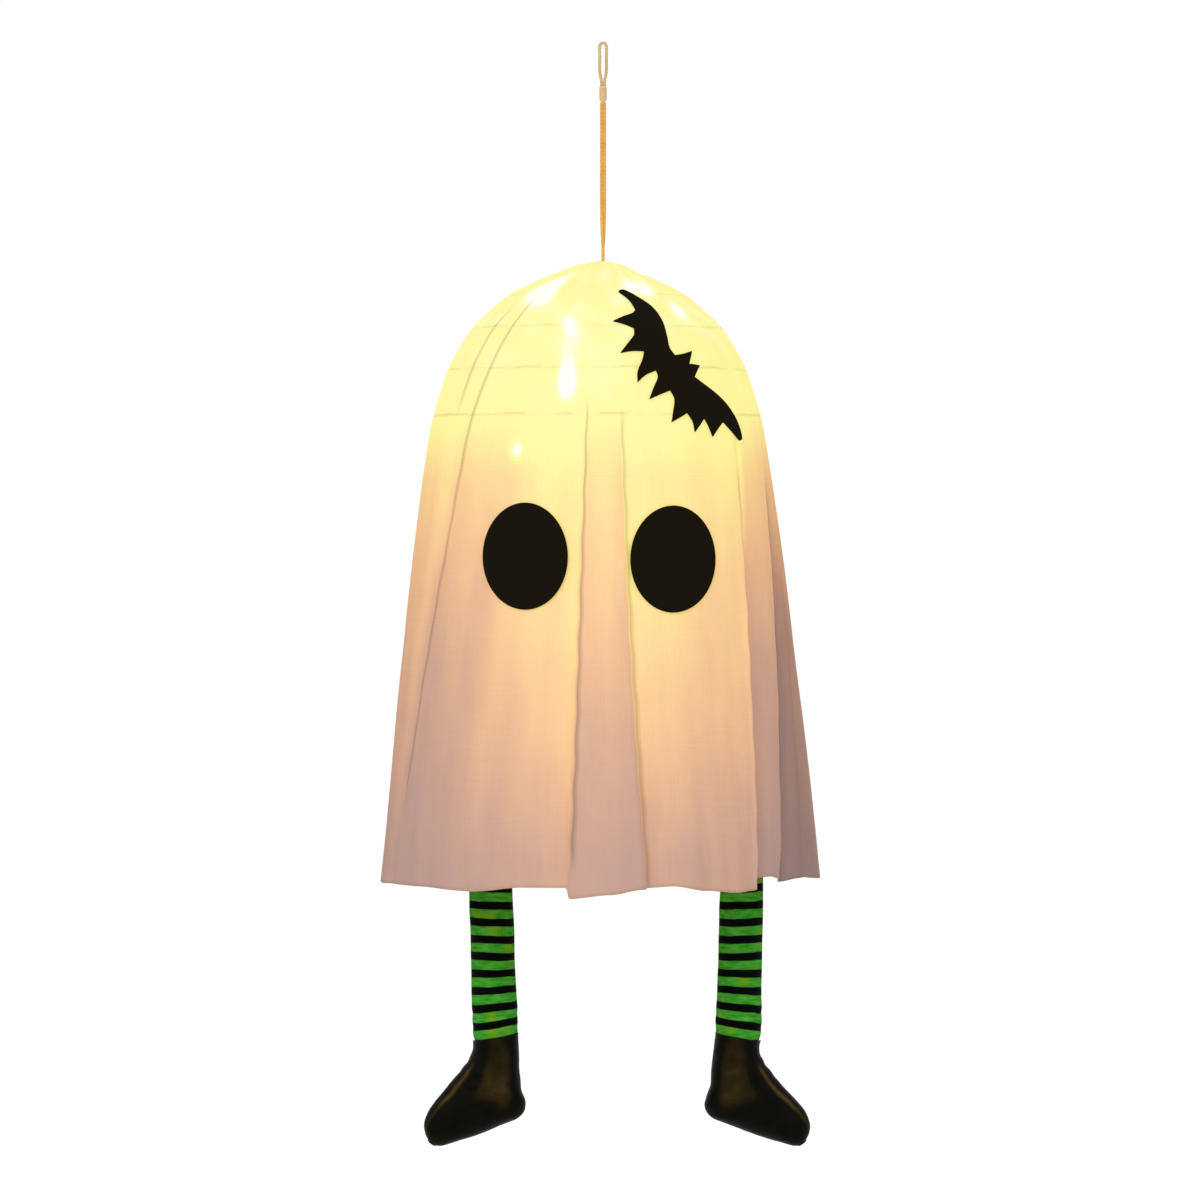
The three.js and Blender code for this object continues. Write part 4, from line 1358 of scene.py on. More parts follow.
# The bat's cut outline, from the tip of its left wing by the ears to the right wing and back
# under it. Each stroke runs smoothly from one corner to the next stroke's first point.
# Millimetres along the wings and down, from the middle of the bat.
BAT_STROKES = (
    ((-82.3, -24.6), (-82.2, -27.6), (-80.5, -29.6), (-67, -30))
    + ((-52, -29), (-38, -22.8), (-25.4, -12.5), (-17, -5.8)),
    ((-10.4, -4.8), (-7.4, -11.5)),
    ((-4.2, -22.3), (-1, -16.4)),
    ((2, -10.7), (5, -14.8)),
    ((8.4, -19), (10.6, -12.4)),
    ((12.7, -6.8), (20, -10), (37.3, -18.4), (50, -22.6), (60, -23.4))
    + ((69, -22), (75.6, -18.6), (76, -15.4), (67, -11.6)),
    ((54.3, -7), (55.6, 2)),
    ((57.6, 11.2), (49, 9.2)),
    ((42, 8.8), (44, 16.4)),
    ((45.6, 23.8), (38.6, 20.2)),
    ((30.6, 19.6), (29.6, 27.2)),
    ((28.2, 36.4), (21.9, 28.6), (15.5, 21.6)),
    ((8.6, 20), (5.8, 30)),
    ((3.4, 39.6), (-1.2, 30.8), (-6.2, 20.6)),
    ((-10.6, 18.4), (-13, 28)),
    ((-12.7, 37.6), (-19.4, 31), (-24.6, 19.9)),
    ((-28.4, 14), (-34.4, 21)),
    ((-39.8, 29.8), (-41.9, 18.4), (-44, 8.4)),
    ((-48, 3.4), (-56, 6)),
    ((-64, 10), (-61.4, 0), (-58.6, -9)),
    ((-59.4, -14.4), (-69, -20.4)),
)


@dataclass
class FeltBat:
    """A bat cut from felt, wings spread, laid on the right of the dome."""

    azimuth: float = 32.3
    polar: float = 69.1
    turn: float = 56.6
    scale: float = 0.98
    thickness: float = 1.3
    gap: float = 0.55
    grain: float = 4.0

    def outline(self) -> np.ndarray:
        """The flat outline as a closed ring of points, 1 mm apart.

        Returns:
            The points along the wings and down, in millimetres.
        """
        pieces = []
        for stroke, after in zip(BAT_STROKES, [*BAT_STROKES[1:], BAT_STROKES[0]]):
            pieces.append(smooth_path([*stroke, after[0]], 1.0)[:-1])
        return np.vstack(pieces)

    def on_sheet(self, form: SheetForm, flat: np.ndarray, out: float) -> np.ndarray:
        """Lay flat points on the sheet.

        Args:
            form: the sheet.
            flat: points along the wings and down, in millimetres.
            out: distance above the sheet.

        Returns:
            The points in space, in millimetres.
        """
        az, polar, turn = (math.radians(v) for v in (self.azimuth, self.polar, self.turn))
        deep = math.sin(polar)
        middle = np.array([deep * math.sin(az), -deep * math.cos(az), math.cos(polar)])
        east = np.array([math.cos(az), math.sin(az), 0])
        down = np.cross(middle, east)
        down *= -math.copysign(1, down[2])
        along = east * math.cos(turn) + down * math.sin(turn)
        across = down * math.cos(turn) - east * math.sin(turn)
        reach = np.maximum(np.linalg.norm(flat, axis=1), 1e-6)
        angle = reach * self.scale / form.dome_radius
        way = (flat[:, :1] * along + flat[:, 1:] * across) / reach[:, None]
        d = middle * np.cos(angle)[:, None] + way * np.sin(angle)[:, None]
        return form.place(np.degrees(np.arctan2(d[:, 0], -d[:, 1])), form.dome_radius * d[:, 2], out)

    def build(self, form: SheetForm, material: Material) -> Object:
        """Make the bat.

        Args:
            form: the sheet that it lies on.
            material: the felt.

        Returns:
            The bat's object.
        """
        rim = self.outline()
        grid = [(a, b) for a in np.arange(-80, 80, self.grain) for b in np.arange(-28, 40, self.grain)]
        points = [Vector(p) for p in (*rim, *grid)]
        verts, _, faces, sources, _, _ = delaunay_2d_cdt(points, [], [list(range(len(rim)))], 1, 1e-4)
        flat = np.array([tuple(v) for v in verts])
        where = {source: i for i, group in enumerate(sources) for source in group}
        ring = [where[i] for i in range(len(rim))]
        total = len(flat)
        layers = [self.on_sheet(form, flat, out) for out in (self.gap + self.thickness, self.gap)]
        skin = [tuple(face) for face in faces]
        skin += [tuple(total + v for v in reversed(face)) for face in faces]
        for a, b in zip(ring, [*ring[1:], ring[0]]):
            skin.append((b, a, total + a, total + b))
        obj = mesh_piece("felt_bat", np.vstack(layers) * MM, skin)
        face_out(obj)
        obj.data.set_sharp_from_angle(angle=math.radians(50))
        dress(obj, material)
        return install(obj, "ghost", ["bat_patch"])


# Cords, lantern and lights


def plies_tree(material: Material) -> NodeTree:
    """Round plies twisted about a path, as a cord's or a pair of wires' are.

    Args:
        material: the plies' material.

    Returns:
        A tree with the inputs Diameter, Lay, Plies and Sides, which starts from a line of edges.
    """
    tree, given = start_tree(
        "twisted_plies", Geometry="Geometry", Diameter="Float", Lay="Float", Plies="Int", Sides="Int"
    )
    line = add_node(tree, "GeometryNodeMeshToCurve", {"Mesh": given["Geometry"]})
    copies = add_node(
        tree, "GeometryNodeDuplicateElements", {"Geometry": line, "Amount": given["Plies"]}, domain="SPLINE"
    )
    # The plies press into one another: each one's radius and its middle's distance make half
    # the cord's diameter together.
    thin = add_node(tree, "ShaderNodeMath", {0: given["Diameter"], 1: 0.3}, operation="MULTIPLY")
    reach = add_node(tree, "ShaderNodeMath", {0: given["Diameter"], 1: 0.2}, operation="MULTIPLY")
    along = add_node(tree, "GeometryNodeSplineParameter").outputs["Length"]
    turns = add_node(tree, "ShaderNodeMath", {0: along, 1: given["Lay"]}, operation="DIVIDE")
    first = add_node(
        tree, "ShaderNodeMath", {0: copies.outputs["Duplicate Index"], 1: given["Plies"]}, operation="DIVIDE"
    )
    turns = add_node(tree, "ShaderNodeMath", {0: turns, 1: first}, operation="ADD")
    angle = add_node(tree, "ShaderNodeMath", {0: turns, 1: FULL_TURN}, operation="MULTIPLY")
    normal = add_node(tree, "GeometryNodeInputNormal")
    tangent = add_node(tree, "GeometryNodeInputTangent")
    side = add_node(tree, "ShaderNodeVectorMath", {0: tangent, 1: normal}, operation="CROSS_PRODUCT")
    legs = []
    for way, operation in ((normal, "COSINE"), (side, "SINE")):
        size = add_node(tree, "ShaderNodeMath", {0: angle}, operation=operation)
        size = add_node(tree, "ShaderNodeMath", {0: size, 1: reach}, operation="MULTIPLY")
        legs.append(add_node(tree, "ShaderNodeVectorMath", {0: way, "Scale": size}, operation="SCALE"))
    offset = add_node(tree, "ShaderNodeVectorMath", {0: legs[0], 1: legs[1]}, operation="ADD")
    moved = add_node(tree, "GeometryNodeSetPosition", {"Geometry": copies, "Offset": offset})
    section = add_node(
        tree,
        "GeometryNodeCurvePrimitiveCircle",
        {"Resolution": given["Sides"], "Radius": thin},
        mode="RADIUS",
    )
    swept = add_node(
        tree, "GeometryNodeCurveToMesh", {"Curve": moved, "Profile Curve": section, "Fill Caps": True}
    )
    end_tree(tree, swept, material)
    return tree


@dataclass
class Twine:
    """A twisted cord or pair of wires of one kind, laid along a route."""

    material: Material
    diameter: float
    lay: float
    plies: int = 3
    sides: int = 10
    step: float = 0.6

    def lay_along(self, name: str, route: Sequence[Sequence[float]]) -> tuple[Object, np.ndarray]:
        """Make the cord.

        Args:
            name: the piece's name.
            route: points in millimetres.

        Returns:
            The cord and its centreline in metres.
        """
        path = smooth_path(route, self.step) * MM
        edges = [(i, i + 1) for i in range(len(path) - 1)]
        source = mesh_piece(f"{name}_route", path, [], edges=edges)
        values = {
            "Diameter": self.diameter * MM,
            "Lay": self.lay * MM,
            "Plies": self.plies,
            "Sides": self.sides,
        }
        return grown(name, source, plies_tree(self.material), values), path


@dataclass
class HangingCord:
    """The twine loop, its thread binding and the doubled drop to the lantern."""

    diameter: float = 2.6
    lay: float = 9.0
    loop_half_width: float = 2.6
    loop_drop: float = 33.0
    binding_diameter: float = 6.0
    binding_length: float = 12.6
    binding_thread: float = 0.45
    strand_gap: float = 1.2
    joint_gap: float = 0.12
    opener_wire: float = 2.4
    peak_z: float = -180.03
    loop_length: float = 0.071
    drop_length: float = 0.28

    def loop_route(self) -> list[tuple[float, float, float]]:
        """The route of the top loop, its two ends side by side in the binding.

        Returns:
            Points up the left and down the right, in millimetres.
        """
        r, w, near = self.diameter / 2, self.loop_half_width, self.strand_gap
        foot = -self.loop_drop + CLEARANCE
        right = [(near, foot), (near, foot + 3), (w, foot + 12), (w, foot + 22)]
        right += [(w, r - w), (w * 0.71, r - w * 0.29)]
        left = [(-x, 0.0, z) for x, z in right]
        return left + [(0.0, 0.0, r)] + [(-x, y, z) for x, y, z in reversed(left)]

    def drop_route(self) -> list[tuple[float, float, float]]:
        """The route of the doubled drop, down from the binding and round under the opener's wire.

        Returns:
            Points down one strand and up the other, in millimetres.
        """
        near, r = self.strand_gap, self.diameter / 2
        pivot = -self.loop_drop - self.binding_length + self.binding_diameter / 2
        start = pivot - self.binding_diameter / 2 - self.joint_gap
        span = start - self.peak_z
        seat = self.peak_z - self.opener_wire / 2 - CLEARANCE - r - 0.2

        def strand(side: int) -> list[tuple[float, float, float]]:
            """One strand from the binding down, which turns to the front or back on its way.

            Args:
                side: 1 for the strand on the right and 0 to the back, -1 for the other.

            Returns:
                Its points.
            """
            return [
                (side * near, 0, start),
                (side * near, 0, start - span * 0.3),
                (side * near, 0, start - span * 0.6),
                (side * near * 0.75, side * near * 0.75, start - span * 0.74),
                (0, side * near, start - span * 0.86),
                (0, side * (near + 0.1), self.peak_z + 9),
                (0, side * 3.3, self.peak_z + 3),
                (0, side * 3.3, self.peak_z - 0.4),
            ]

        return strand(1) + [(0, 0, seat)] + strand(-1)[::-1]

    def winding_tree(self, material: Material) -> NodeTree:
        """Close turns of thread over a core whose lower end is round.

        Args:
            material: the thread's material.

        Returns:
            A tree with the inputs Radius, Thread, Length, Turns and Foot, which starts from the core.
        """
        sizes = {name: "Float" for name in ("Radius", "Thread", "Length", "Turns", "Foot")}
        tree, given = start_tree("thread_winding", Geometry="Geometry", **sizes)
        spiral = add_node(
            tree,
            "GeometryNodeCurveSpiral",
            {
                "Resolution": 20,
                "Rotations": given["Turns"],
                "Start Radius": 1.0,
                "End Radius": 1.0,
                "Height": given["Length"],
            },
        )
        place = add_node(tree, "GeometryNodeInputPosition")
        height = add_node(tree, "ShaderNodeSeparateXYZ", {0: place}).outputs["Z"]
        # The turns close in over the round foot, as rings on a ball do.
        core = add_node(
            tree, "ShaderNodeMath", {0: given["Radius"], 1: given["Thread"]}, operation="SUBTRACT"
        )
        left = add_node(tree, "ShaderNodeMath", {0: height, 1: core}, operation="DIVIDE")
        left = add_node(tree, "ShaderNodeMath", {0: 1.0, 1: left}, operation="SUBTRACT", use_clamp=True)
        square = add_node(tree, "ShaderNodeMath", {0: left, 1: 2.0}, operation="POWER")
        square = add_node(tree, "ShaderNodeMath", {0: 1.0, 1: square}, operation="SUBTRACT")
        close = add_node(tree, "ShaderNodeMath", {0: square}, operation="SQRT")
        reach = add_node(tree, "ShaderNodeMath", {0: close, 1: core}, operation="MULTIPLY")
        size = add_node(tree, "ShaderNodeCombineXYZ", {0: reach, 1: reach, 2: 1.0})
        foot = add_node(tree, "ShaderNodeCombineXYZ", {2: given["Foot"]})
        spot = add_node(tree, "ShaderNodeVectorMath", {0: place, 1: size, 2: foot}, operation="MULTIPLY_ADD")
        wound = add_node(tree, "GeometryNodeSetPosition", {"Geometry": spiral, "Position": spot})
        section = add_node(
            tree,
            "GeometryNodeCurvePrimitiveCircle",
            {"Resolution": 8, "Radius": given["Thread"]},
            mode="RADIUS",
        )
        swept = add_node(
            tree, "GeometryNodeCurveToMesh", {"Curve": wound, "Profile Curve": section, "Fill Caps": True}
        )
        both = add_node(tree, "GeometryNodeJoinGeometry", {0: swept})
        tree.links.new(given["Geometry"], both.inputs[0])
        end_tree(tree, both, material)
        return tree

    def binding(self) -> Object:
        """The whipping of pale thread, wound round the twine in close turns.

        Returns:
            The binding's object.
        """
        r, top, thread = self.binding_diameter / 2, -self.loop_drop, self.binding_thread
        foot = top - self.binding_length
        around = round_angles(24)
        rings = []
        for z in np.linspace(foot + 0.5, top - 0.2, 40):
            radius = (r - thread) * math.sqrt(1 - min(max((foot + r - z) / r, 0.0), 0.99) ** 2)
            rings.append(level_ring(radius, around, z))
        ends = np.array([[0, 0, foot + 0.4], [0, 0, top - 0.1]])
        core = closed_tube("binding_core", np.array(rings) * MM, ends[0] * MM, ends[1] * MM)
        length = self.binding_length - 2 * thread
        values = {
            "Radius": r * MM,
            "Thread": thread * MM,
            "Length": length * MM,
            "Turns": length / (2 * thread),
            "Foot": (foot + thread) * MM,
        }
        obj = grown("thread_binding", core, self.winding_tree(SpunThread().build()), values)
        return install(obj, "binding", ["loop_binding"])

    def build(self) -> None:
        worn = TwistedTwine("worn_jute_twine", "#EFD3A0", "#D0AC70").build()
        loop, loop_path = Twine(worn, self.diameter, self.lay).lay_along("twine_loop", self.loop_route())
        install(loop, "hook_loop", ["hanging_loop"])
        jute = TwistedTwine().build()
        drop, drop_path = Twine(jute, self.diameter, self.lay).lay_along("twine_drop", self.drop_route())
        install(drop, "cord", ["lower_cord"])
        for obj, path, length, on_it in (
            (loop, loop_path, self.loop_length, [self.binding()]),
            (drop, drop_path, self.drop_length, []),
        ):
            log.info("%s is %.4f m long", obj.name, path_length(path))


@dataclass
class Lantern:
    """The round paper lantern: its skin and its hoops of wire, in millimetres."""

    radius: float = LANTERN_RADIUS
    centre_x: float = LANTERN_X
    centre_z: float = LANTERN_Z
    pitch: float = HOOP_PITCH
    paper: float = 0.5
    clear: float = 0.05
    sag: float = 0.9
    crumple: float = 0.25
    hoop_reach: float = 123.1
    wire_radius: float = 1.0
    rings: int = 9

    def skin(self) -> Object:
        """The paper, slightly drawn in between the hoops.

        Returns:
            The paper's object.
        """
        rows, count = [], 144
        around = round_angles(count)
        for degrees in np.arange(self.pitch, self.rings * self.pitch + 0.01, self.pitch / 8):
            slack = (1 - math.cos(math.radians(360 * degrees / self.pitch))) / 2
            reach = self.radius - self.clear - self.sag * slack
            reach = reach + self.crumple * slack * np.sin(36 * around + degrees)
            polar = math.radians(degrees)
            ring = level_ring(reach * math.sin(polar), around, reach * math.cos(polar))
            rows.append(ring + [self.centre_x, 0, self.centre_z])
        quads = [quad[::-1] for quad in grid_faces(len(rows), count, True)]
        obj = mesh_piece("lantern_skin", np.vstack(rows) * MM, quads)
        thicken(obj, self.paper)
        dress(obj, LanternPaper().build())
        return install(obj, "ghost", ["lantern_paper"])

    def hoops(self, steel: Material) -> Object:
        """All the hoops, by one rule: equal angles down the sphere.

        Args:
            steel: the wire's material.

        Returns:
            One mesh with the two end rings and the ribs.
        """
        tree, given = start_tree("lantern_hoops", Reach="Float", Pitch="Float", Wire="Float", Count="Int")
        line = add_node(tree, "GeometryNodeMeshLine", {"Count": given["Count"]})
        order = add_node(tree, "ShaderNodeMath", {0: add_node(tree, "GeometryNodeInputIndex"), 1: 1.0})
        polar = add_node(tree, "ShaderNodeMath", {0: order, 1: given["Pitch"]}, operation="MULTIPLY")
        parts = []
        for operation in ("SINE", "COSINE"):
            turned = add_node(tree, "ShaderNodeMath", {0: polar}, operation=operation)
            parts.append(
                add_node(tree, "ShaderNodeMath", {0: turned, 1: given["Reach"]}, operation="MULTIPLY")
            )
        height = add_node(tree, "ShaderNodeMath", {0: parts[1], 1: self.centre_z * MM}, operation="ADD")
        spot = add_node(tree, "ShaderNodeCombineXYZ", {"X": self.centre_x * MM, "Z": height})
        moved = add_node(tree, "GeometryNodeSetPosition", {"Geometry": line, "Position": spot})
        circle = add_node(
            tree, "GeometryNodeCurvePrimitiveCircle", {"Resolution": 96, "Radius": 1.0}, mode="RADIUS"
        )
        size = add_node(tree, "ShaderNodeCombineXYZ", {0: parts[0], 1: parts[0], 2: parts[0]})
        set_up = add_node(
            tree, "GeometryNodeInstanceOnPoints", {"Points": moved, "Instance": circle, "Scale": size}
        )
        real = add_node(tree, "GeometryNodeRealizeInstances", {0: set_up})
        section = add_node(
            tree,
            "GeometryNodeCurvePrimitiveCircle",
            {"Resolution": 10, "Radius": given["Wire"]},
            mode="RADIUS",
        )
        swept = add_node(tree, "GeometryNodeCurveToMesh", {"Curve": real, "Profile Curve": section})
        end_tree(tree, swept, steel)
        values = {
            "Reach": self.hoop_reach * MM,
            "Pitch": math.radians(self.pitch),
            "Wire": self.wire_radius * MM,
            "Count": self.rings,
        }
        obj = grown("lantern_hoops", mesh_piece("hoops_source", np.zeros((1, 3)), []), tree, values)
        names = ["top_ring", *[f"rib_{k}" for k in range(1, self.rings - 1)], "bottom_ring"]
        return install(obj, "ghost", names)


@dataclass
class LightString:
    """Lacquered copper wire wound round the opener, with a drop of epoxy at each light.

    Sizes are in millimetres. The wire starts start_gap over the opener's lower bar and ends
    end_gap under the lantern's top ring.
    """

    turns: int = 5
    start_gap: float = 20.0
    end_gap: float = 22.0
    ring_reach: float = 2.7
    depth: float = 88.0
    bar_z: float = -411.67
    ring_z: float = -186.53
    foot_x: float = 57.07
    shoulder_x: float = 42.14
    clear: float = 2.25
    radius: float = LANTERN_RADIUS
    centre_x: float = LANTERN_X
    centre_z: float = LANTERN_Z
    pair: float = 0.95
    lay: float = 14.0
    bead: float = 2.0

    def spot(self, k: float) -> tuple[float, float, float]:
        """Point of the winding, which keeps clear of the opener's two uprights.

        Args:
            k: how far along it is, in eighths of a turn.

        Returns:
            The point, in millimetres.
        """
        low, high = self.bar_z + self.start_gap, self.ring_z - self.end_gap
        a = FULL_TURN * k / 8
        z = low + (high - low) * k / (self.turns * 8)
        t = (z - self.bar_z) / (self.ring_z - self.ring_reach - self.bar_z)
        half = self.foot_x + (self.shoulder_x - self.foot_x) * t + self.clear
        h = (z - self.centre_z) / self.radius
        deep = self.depth * math.sqrt(1 - min(h * h, 0.75))
        return (self.centre_x + half * math.sin(a), deep * math.cos(a), z)

    def build(self, copper: Material) -> None:
        """Make the wire and the lights.

        Args:
            copper: the wire's material.
        """
        lead = [(9.3, 3.5, -424.0), (9.3, 3.5, -417.0), (11.3, 9.5, -408.7), (3.3, 30.8, -399.7)]
        last = self.turns * 8 - 1
        route = lead + [self.spot(k) for k in range(last)]
        maker = Twine(copper, self.pair, self.lay, plies=2, sides=8, step=2.0)
        wire, _ = maker.lay_along("light_wire", route)
        install(wire, "ghost", ["led_string"])
        spots = np.array([self.spot(k) for k in range(1, last, 2)]) * MM
        source = mesh_piece("lights_source", spots, [])
        drops = grown("light_drops", source, self.drops_tree(), {"Drop": self.bead * MM})
        install(drops, "ghost")

    def drops_tree(self) -> NodeTree:
        """One drop of clear epoxy on each point.

        Returns:
            A tree with the input Drop, which starts from the points.
        """
        tree, given = start_tree("epoxy_drops", Geometry="Geometry", Drop="Float")
        ball = add_node(tree, "GeometryNodeMeshIcoSphere", {"Radius": given["Drop"], "Subdivisions": 3})
        set_up = add_node(
            tree, "GeometryNodeInstanceOnPoints", {"Points": given["Geometry"], "Instance": ball}
        )
        end_tree(tree, set_up, ClearEpoxy().build())
        return tree


# Legs


class Side(Enum):
    """Which leg it is, as the viewer sees it, and which way its toe points."""

    LEFT = -1
    RIGHT = 1


# Boot sections from ankle to toe, from the ankle's middle, for a toe to the left:
# instep x, instep z, sole x, sole z, half depth
BOOT = (
    (-17.9, -3.8, 17.9, 2.4, 18),
    (-18.6, -11.5, 18.8, -16, 18),
    (-23.3, -21, 20.1, -40, 18.5),
    (-32, -32.1, 24, -54.2, 19),
    (-39.9, -41.6, 18.6, -64.5, 19),
    (-47, -50.2, 2, -71.6, 18),
    (-53.3, -59.7, -16.2, -79.1, 16),
    (-56.6, -69.2, -34.4, -84.6, 12),
    (-55.9, -76.8, -42.4, -86.8, 7.5),
    (-53.7, -81.8, -46.9, -86.8, 4),
)


@dataclass
class Leg:
    """A stuffed leg: striped stocking, boot, top tab and the cord it hangs by."""

    side: Side
    ankle_x: float
    lean: float
    hook: tuple[float, float, float]
    heel_shift: float = 0.0
    top_z: float = -565.0
    length: float = 218.0
    top_radius: float = 16.0
    ankle_radius: float = 18.0
    stripe_shift: float = -1.3
    bow: float = 2.3
    link_drop: float = 9.8
    cord_diameter: float = 2.0
    cord_drawn: float = 1.9
    tab_drawn: float = 1.7
    tab_radius: float = 2.2
    cord_lay: float = 5.0

    @property
    def name(self) -> str:
        """Left or right, as the viewer sees it."""
        return self.side.name.lower()

    @property
    def ankle_z(self) -> float:
        """Height of the ankle seam."""
        return self.top_z - self.length

    def along(self, s: float) -> np.ndarray:
        """Point of the leg's middle line, from 0 at the top to 1 at the ankle."""
        return np.array([self.ankle_x + self.lean * (1 - s), 0.0, self.top_z - self.length * s])

    def stocking(self, material: Material) -> Object:
        """The stuffed stocking, with soft swellings and small creases above the ankle.

        Args:
            material: the striped knit.

        Returns:
            The stocking's object.
        """
        # Share of the plain radius at shares of the length: round at the top, then swelling softly
        shares = [0, 0.004, 0.012, 0.02, 0.04, 0.06, 0.2, 0.38, 0.55, 0.74, 0.9, 0.99, 1.0, 1.02]
        full = [0.4, 0.6, 0.74, 0.82, 0.93, 0.975, 1.015, 0.99, 1.025, 0.99, 1.01, 0.99, 0.97, 0.9]
        count = 96
        around = round_angles(count)
        rings, down, flat = [], [], []
        for s in np.concatenate([np.linspace(0, 0.06, 12), np.linspace(0.07, 1.02, 150)]):
            plain = self.top_radius + (self.ankle_radius - self.top_radius) * s
            seed = self.side.value * 7
            spots = [Vector((math.cos(a) * 0.8, math.sin(a) * 0.8 + seed, s * 9)) for a in around]
            lumps = np.array([noise.noise(spot) for spot in spots])
            crease = 0.25 * np.sin(s * self.length / 1.9 + 3 * np.sin(around))
            crease = crease * math.exp(-(((s - 0.93) / 0.06) ** 2))
            radius = plain * float(np.interp(s, shares, full)) + 0.5 * lumps * min(1.0, s * 12) + crease
            radius = np.minimum(radius, plain * 1.04)
            rings.append(self.along(s) + level_ring(radius, around))
            slope = float(np.interp(s, [0.5, 0.7, 0.8, 0.9, 1.0], [-0.6, -0.5, 0.8, 2.2, 3.2]))
            down.append(s * self.length - slope * np.cos(around) * self.side.value + self.stripe_shift)
            flat.append(np.stack([around * 17, np.full(count, s * self.length)], axis=-1))
        obj = closed_tube(
            f"{self.name}_knit_leg", np.array(rings) * MM, self.along(0) * MM, self.along(1.02) * MM
        )
        add_attribute(obj, "down", np.concatenate([*down, [0.0, self.length]]))
        layer = obj.data.uv_layers.new(name="cut")
        uv = np.concatenate([*flat, [[0, 0], [0, self.length]]]) * MM
        layer.data.foreach_set("uv", uv[corners_of(obj)].astype(np.float32).ravel())
        dress(obj, material)
        install(obj, f"{self.name}_leg", [f"{self.name}_stocking", f"{self.name}_stuffing"])
        return obj

    def boot_ring(self, t: float, around: np.ndarray) -> np.ndarray:
        """One section of the boot.

        Args:
            t: place among the sections, 0 at the ankle.
            around: angles round the section, 0 towards the right.

        Returns:
            The ring, in millimetres.
        """
        table = np.array(BOOT)
        i = min(int(t), len(table) - 2)
        four = [table[min(max(i + k, 0), len(table) - 1)] for k in (-1, 0, 1, 2)]
        instep_x, instep_z, sole_x, sole_z, depth = spline(four, (-1, 0, 1, 2), t - i)
        side = -self.side.value
        shift = self.heel_shift * math.sin(math.pi * min(t / 6, 1.0))
        ankle = np.array([self.ankle_x + shift, 0, self.ankle_z])
        centre = ankle + np.array([(instep_x + sole_x) / 2 * side, 0, (instep_z + sole_z) / 2])
        half = np.array([(sole_x - instep_x) / 2, 0, (sole_z - instep_z) / 2 * side])
        across = np.array([0, depth, 0])
        return centre + half * np.cos(around)[:, None] + across * np.sin(around)[:, None]

    def lighter_share(self, t: float, around: np.ndarray) -> np.ndarray:
        """How far painted sheen and highlight lift a boot section's black to brown and gold, from 0 to 1.

        Args:
            t: place among the sections, 0 at the ankle.
            around: angles round the section, 0 towards the right.

        Returns:
            The tone: a painted highlight highest along the instep, painted sheen on the front and back of the
                ankle, and less in a painted crease shade between them.
        """
        angle = np.degrees(np.arctan2(np.abs(np.sin(around)), np.cos(around) * self.side.value))
        # A painted highlight along the instep, a painted sheen on the ankle and painted shade in the crease
        # between them.
        seam = np.interp(t, [1.5, 2.4, 4.2, 6.5, 7.6], [0, 0.8, 0.75, 0.5, 0.15])
        ankle = np.interp(t, [0.3, 1.2, 2.4, 3.3, 4.2], [0.25, 0.36, 0.52, 0.42, 0])
        painted_crease_shade = np.interp(t, [1.4, 2.2, 3.2, 4], [0, 0.3, 0.2, 0])
        seam = seam * np.exp(-(((angle - 37) / 7) ** 2))
        ankle = ankle * np.exp(-(((angle - 98) / 30) ** 4))
        painted_crease_shade = painted_crease_shade * np.exp(-(((angle - 62) / 7) ** 2))
        return np.clip(0.12 + seam + ankle - painted_crease_shade, 0, 1)

    def boot(self, material: Material) -> Object:
        """The boot, with its creases at the instep and its seam down front and sole.

        Args:
            material: the coated satin.

        Returns:
            The boot's object.
        """
        count = 96
        around = round_angles(count)
        rings, painted_sheen_levels = [], []
        for t in np.concatenate([[0.0, 0.03, 0.06, 0.1], np.linspace(0.15, len(BOOT) - 1, 120)]):
            ring = self.boot_ring(float(t), around)
            out = ring - ring.mean(axis=0)
            out /= np.linalg.norm(out, axis=1)[:, None]
            seed = self.side.value * 3
            spots = [Vector((p[0] * 0.06, p[1] * 0.06 + seed, p[2] * 0.06)) for p in ring]
            soft = np.array([noise.noise(spot) for spot in spots])
            fine = np.array([noise.noise(Vector((p[0] * 0.2, p[1] * 0.12, p[2] * 0.2))) for p in ring])
            bend = 0.35 * np.sin(t * 7 + 2 * np.cos(around)) * math.exp(-(((t - 2.2) / 0.9) ** 2))
            seam = -0.3 * np.exp(-((np.sin(around) / 0.06) ** 2)) * min(1.0, float(t))
            rim = 0.3 * math.exp(-(((t - 0.04) / 0.06) ** 2))
            change = np.minimum(0.45 * soft + 0.15 * fine + bend + seam + rim, 0.6)
            rings.append(ring + out * change[:, None])
            painted_sheen_levels.append(self.lighter_share(float(t), around))
        last = rings[-1].mean(axis=0)
        way = np.array([self.side.value, 0, -1.3])
        toe = rings[-1] - last
        for s in (0.35, 0.65, 0.85, 0.96):
            rings.append(last + way * s * 0.95 + toe * math.sqrt(1 - s * s))
            painted_sheen_levels.append(painted_sheen_levels[-1] * 0.5)
        obj = closed_tube(
            f"{self.name}_satin_boot", np.array(rings) * MM, rings[0].mean(axis=0) * MM, (last + way) * MM
        )
        # The attribute tone holds the boot's painted sheen and highlight.
        add_attribute(obj, "tone", np.concatenate([*painted_sheen_levels, [0.1, 0.1]]))
        dress(obj, material)
        install(obj, f"{self.name}_leg", [f"{self.name}_boot"])
        return obj

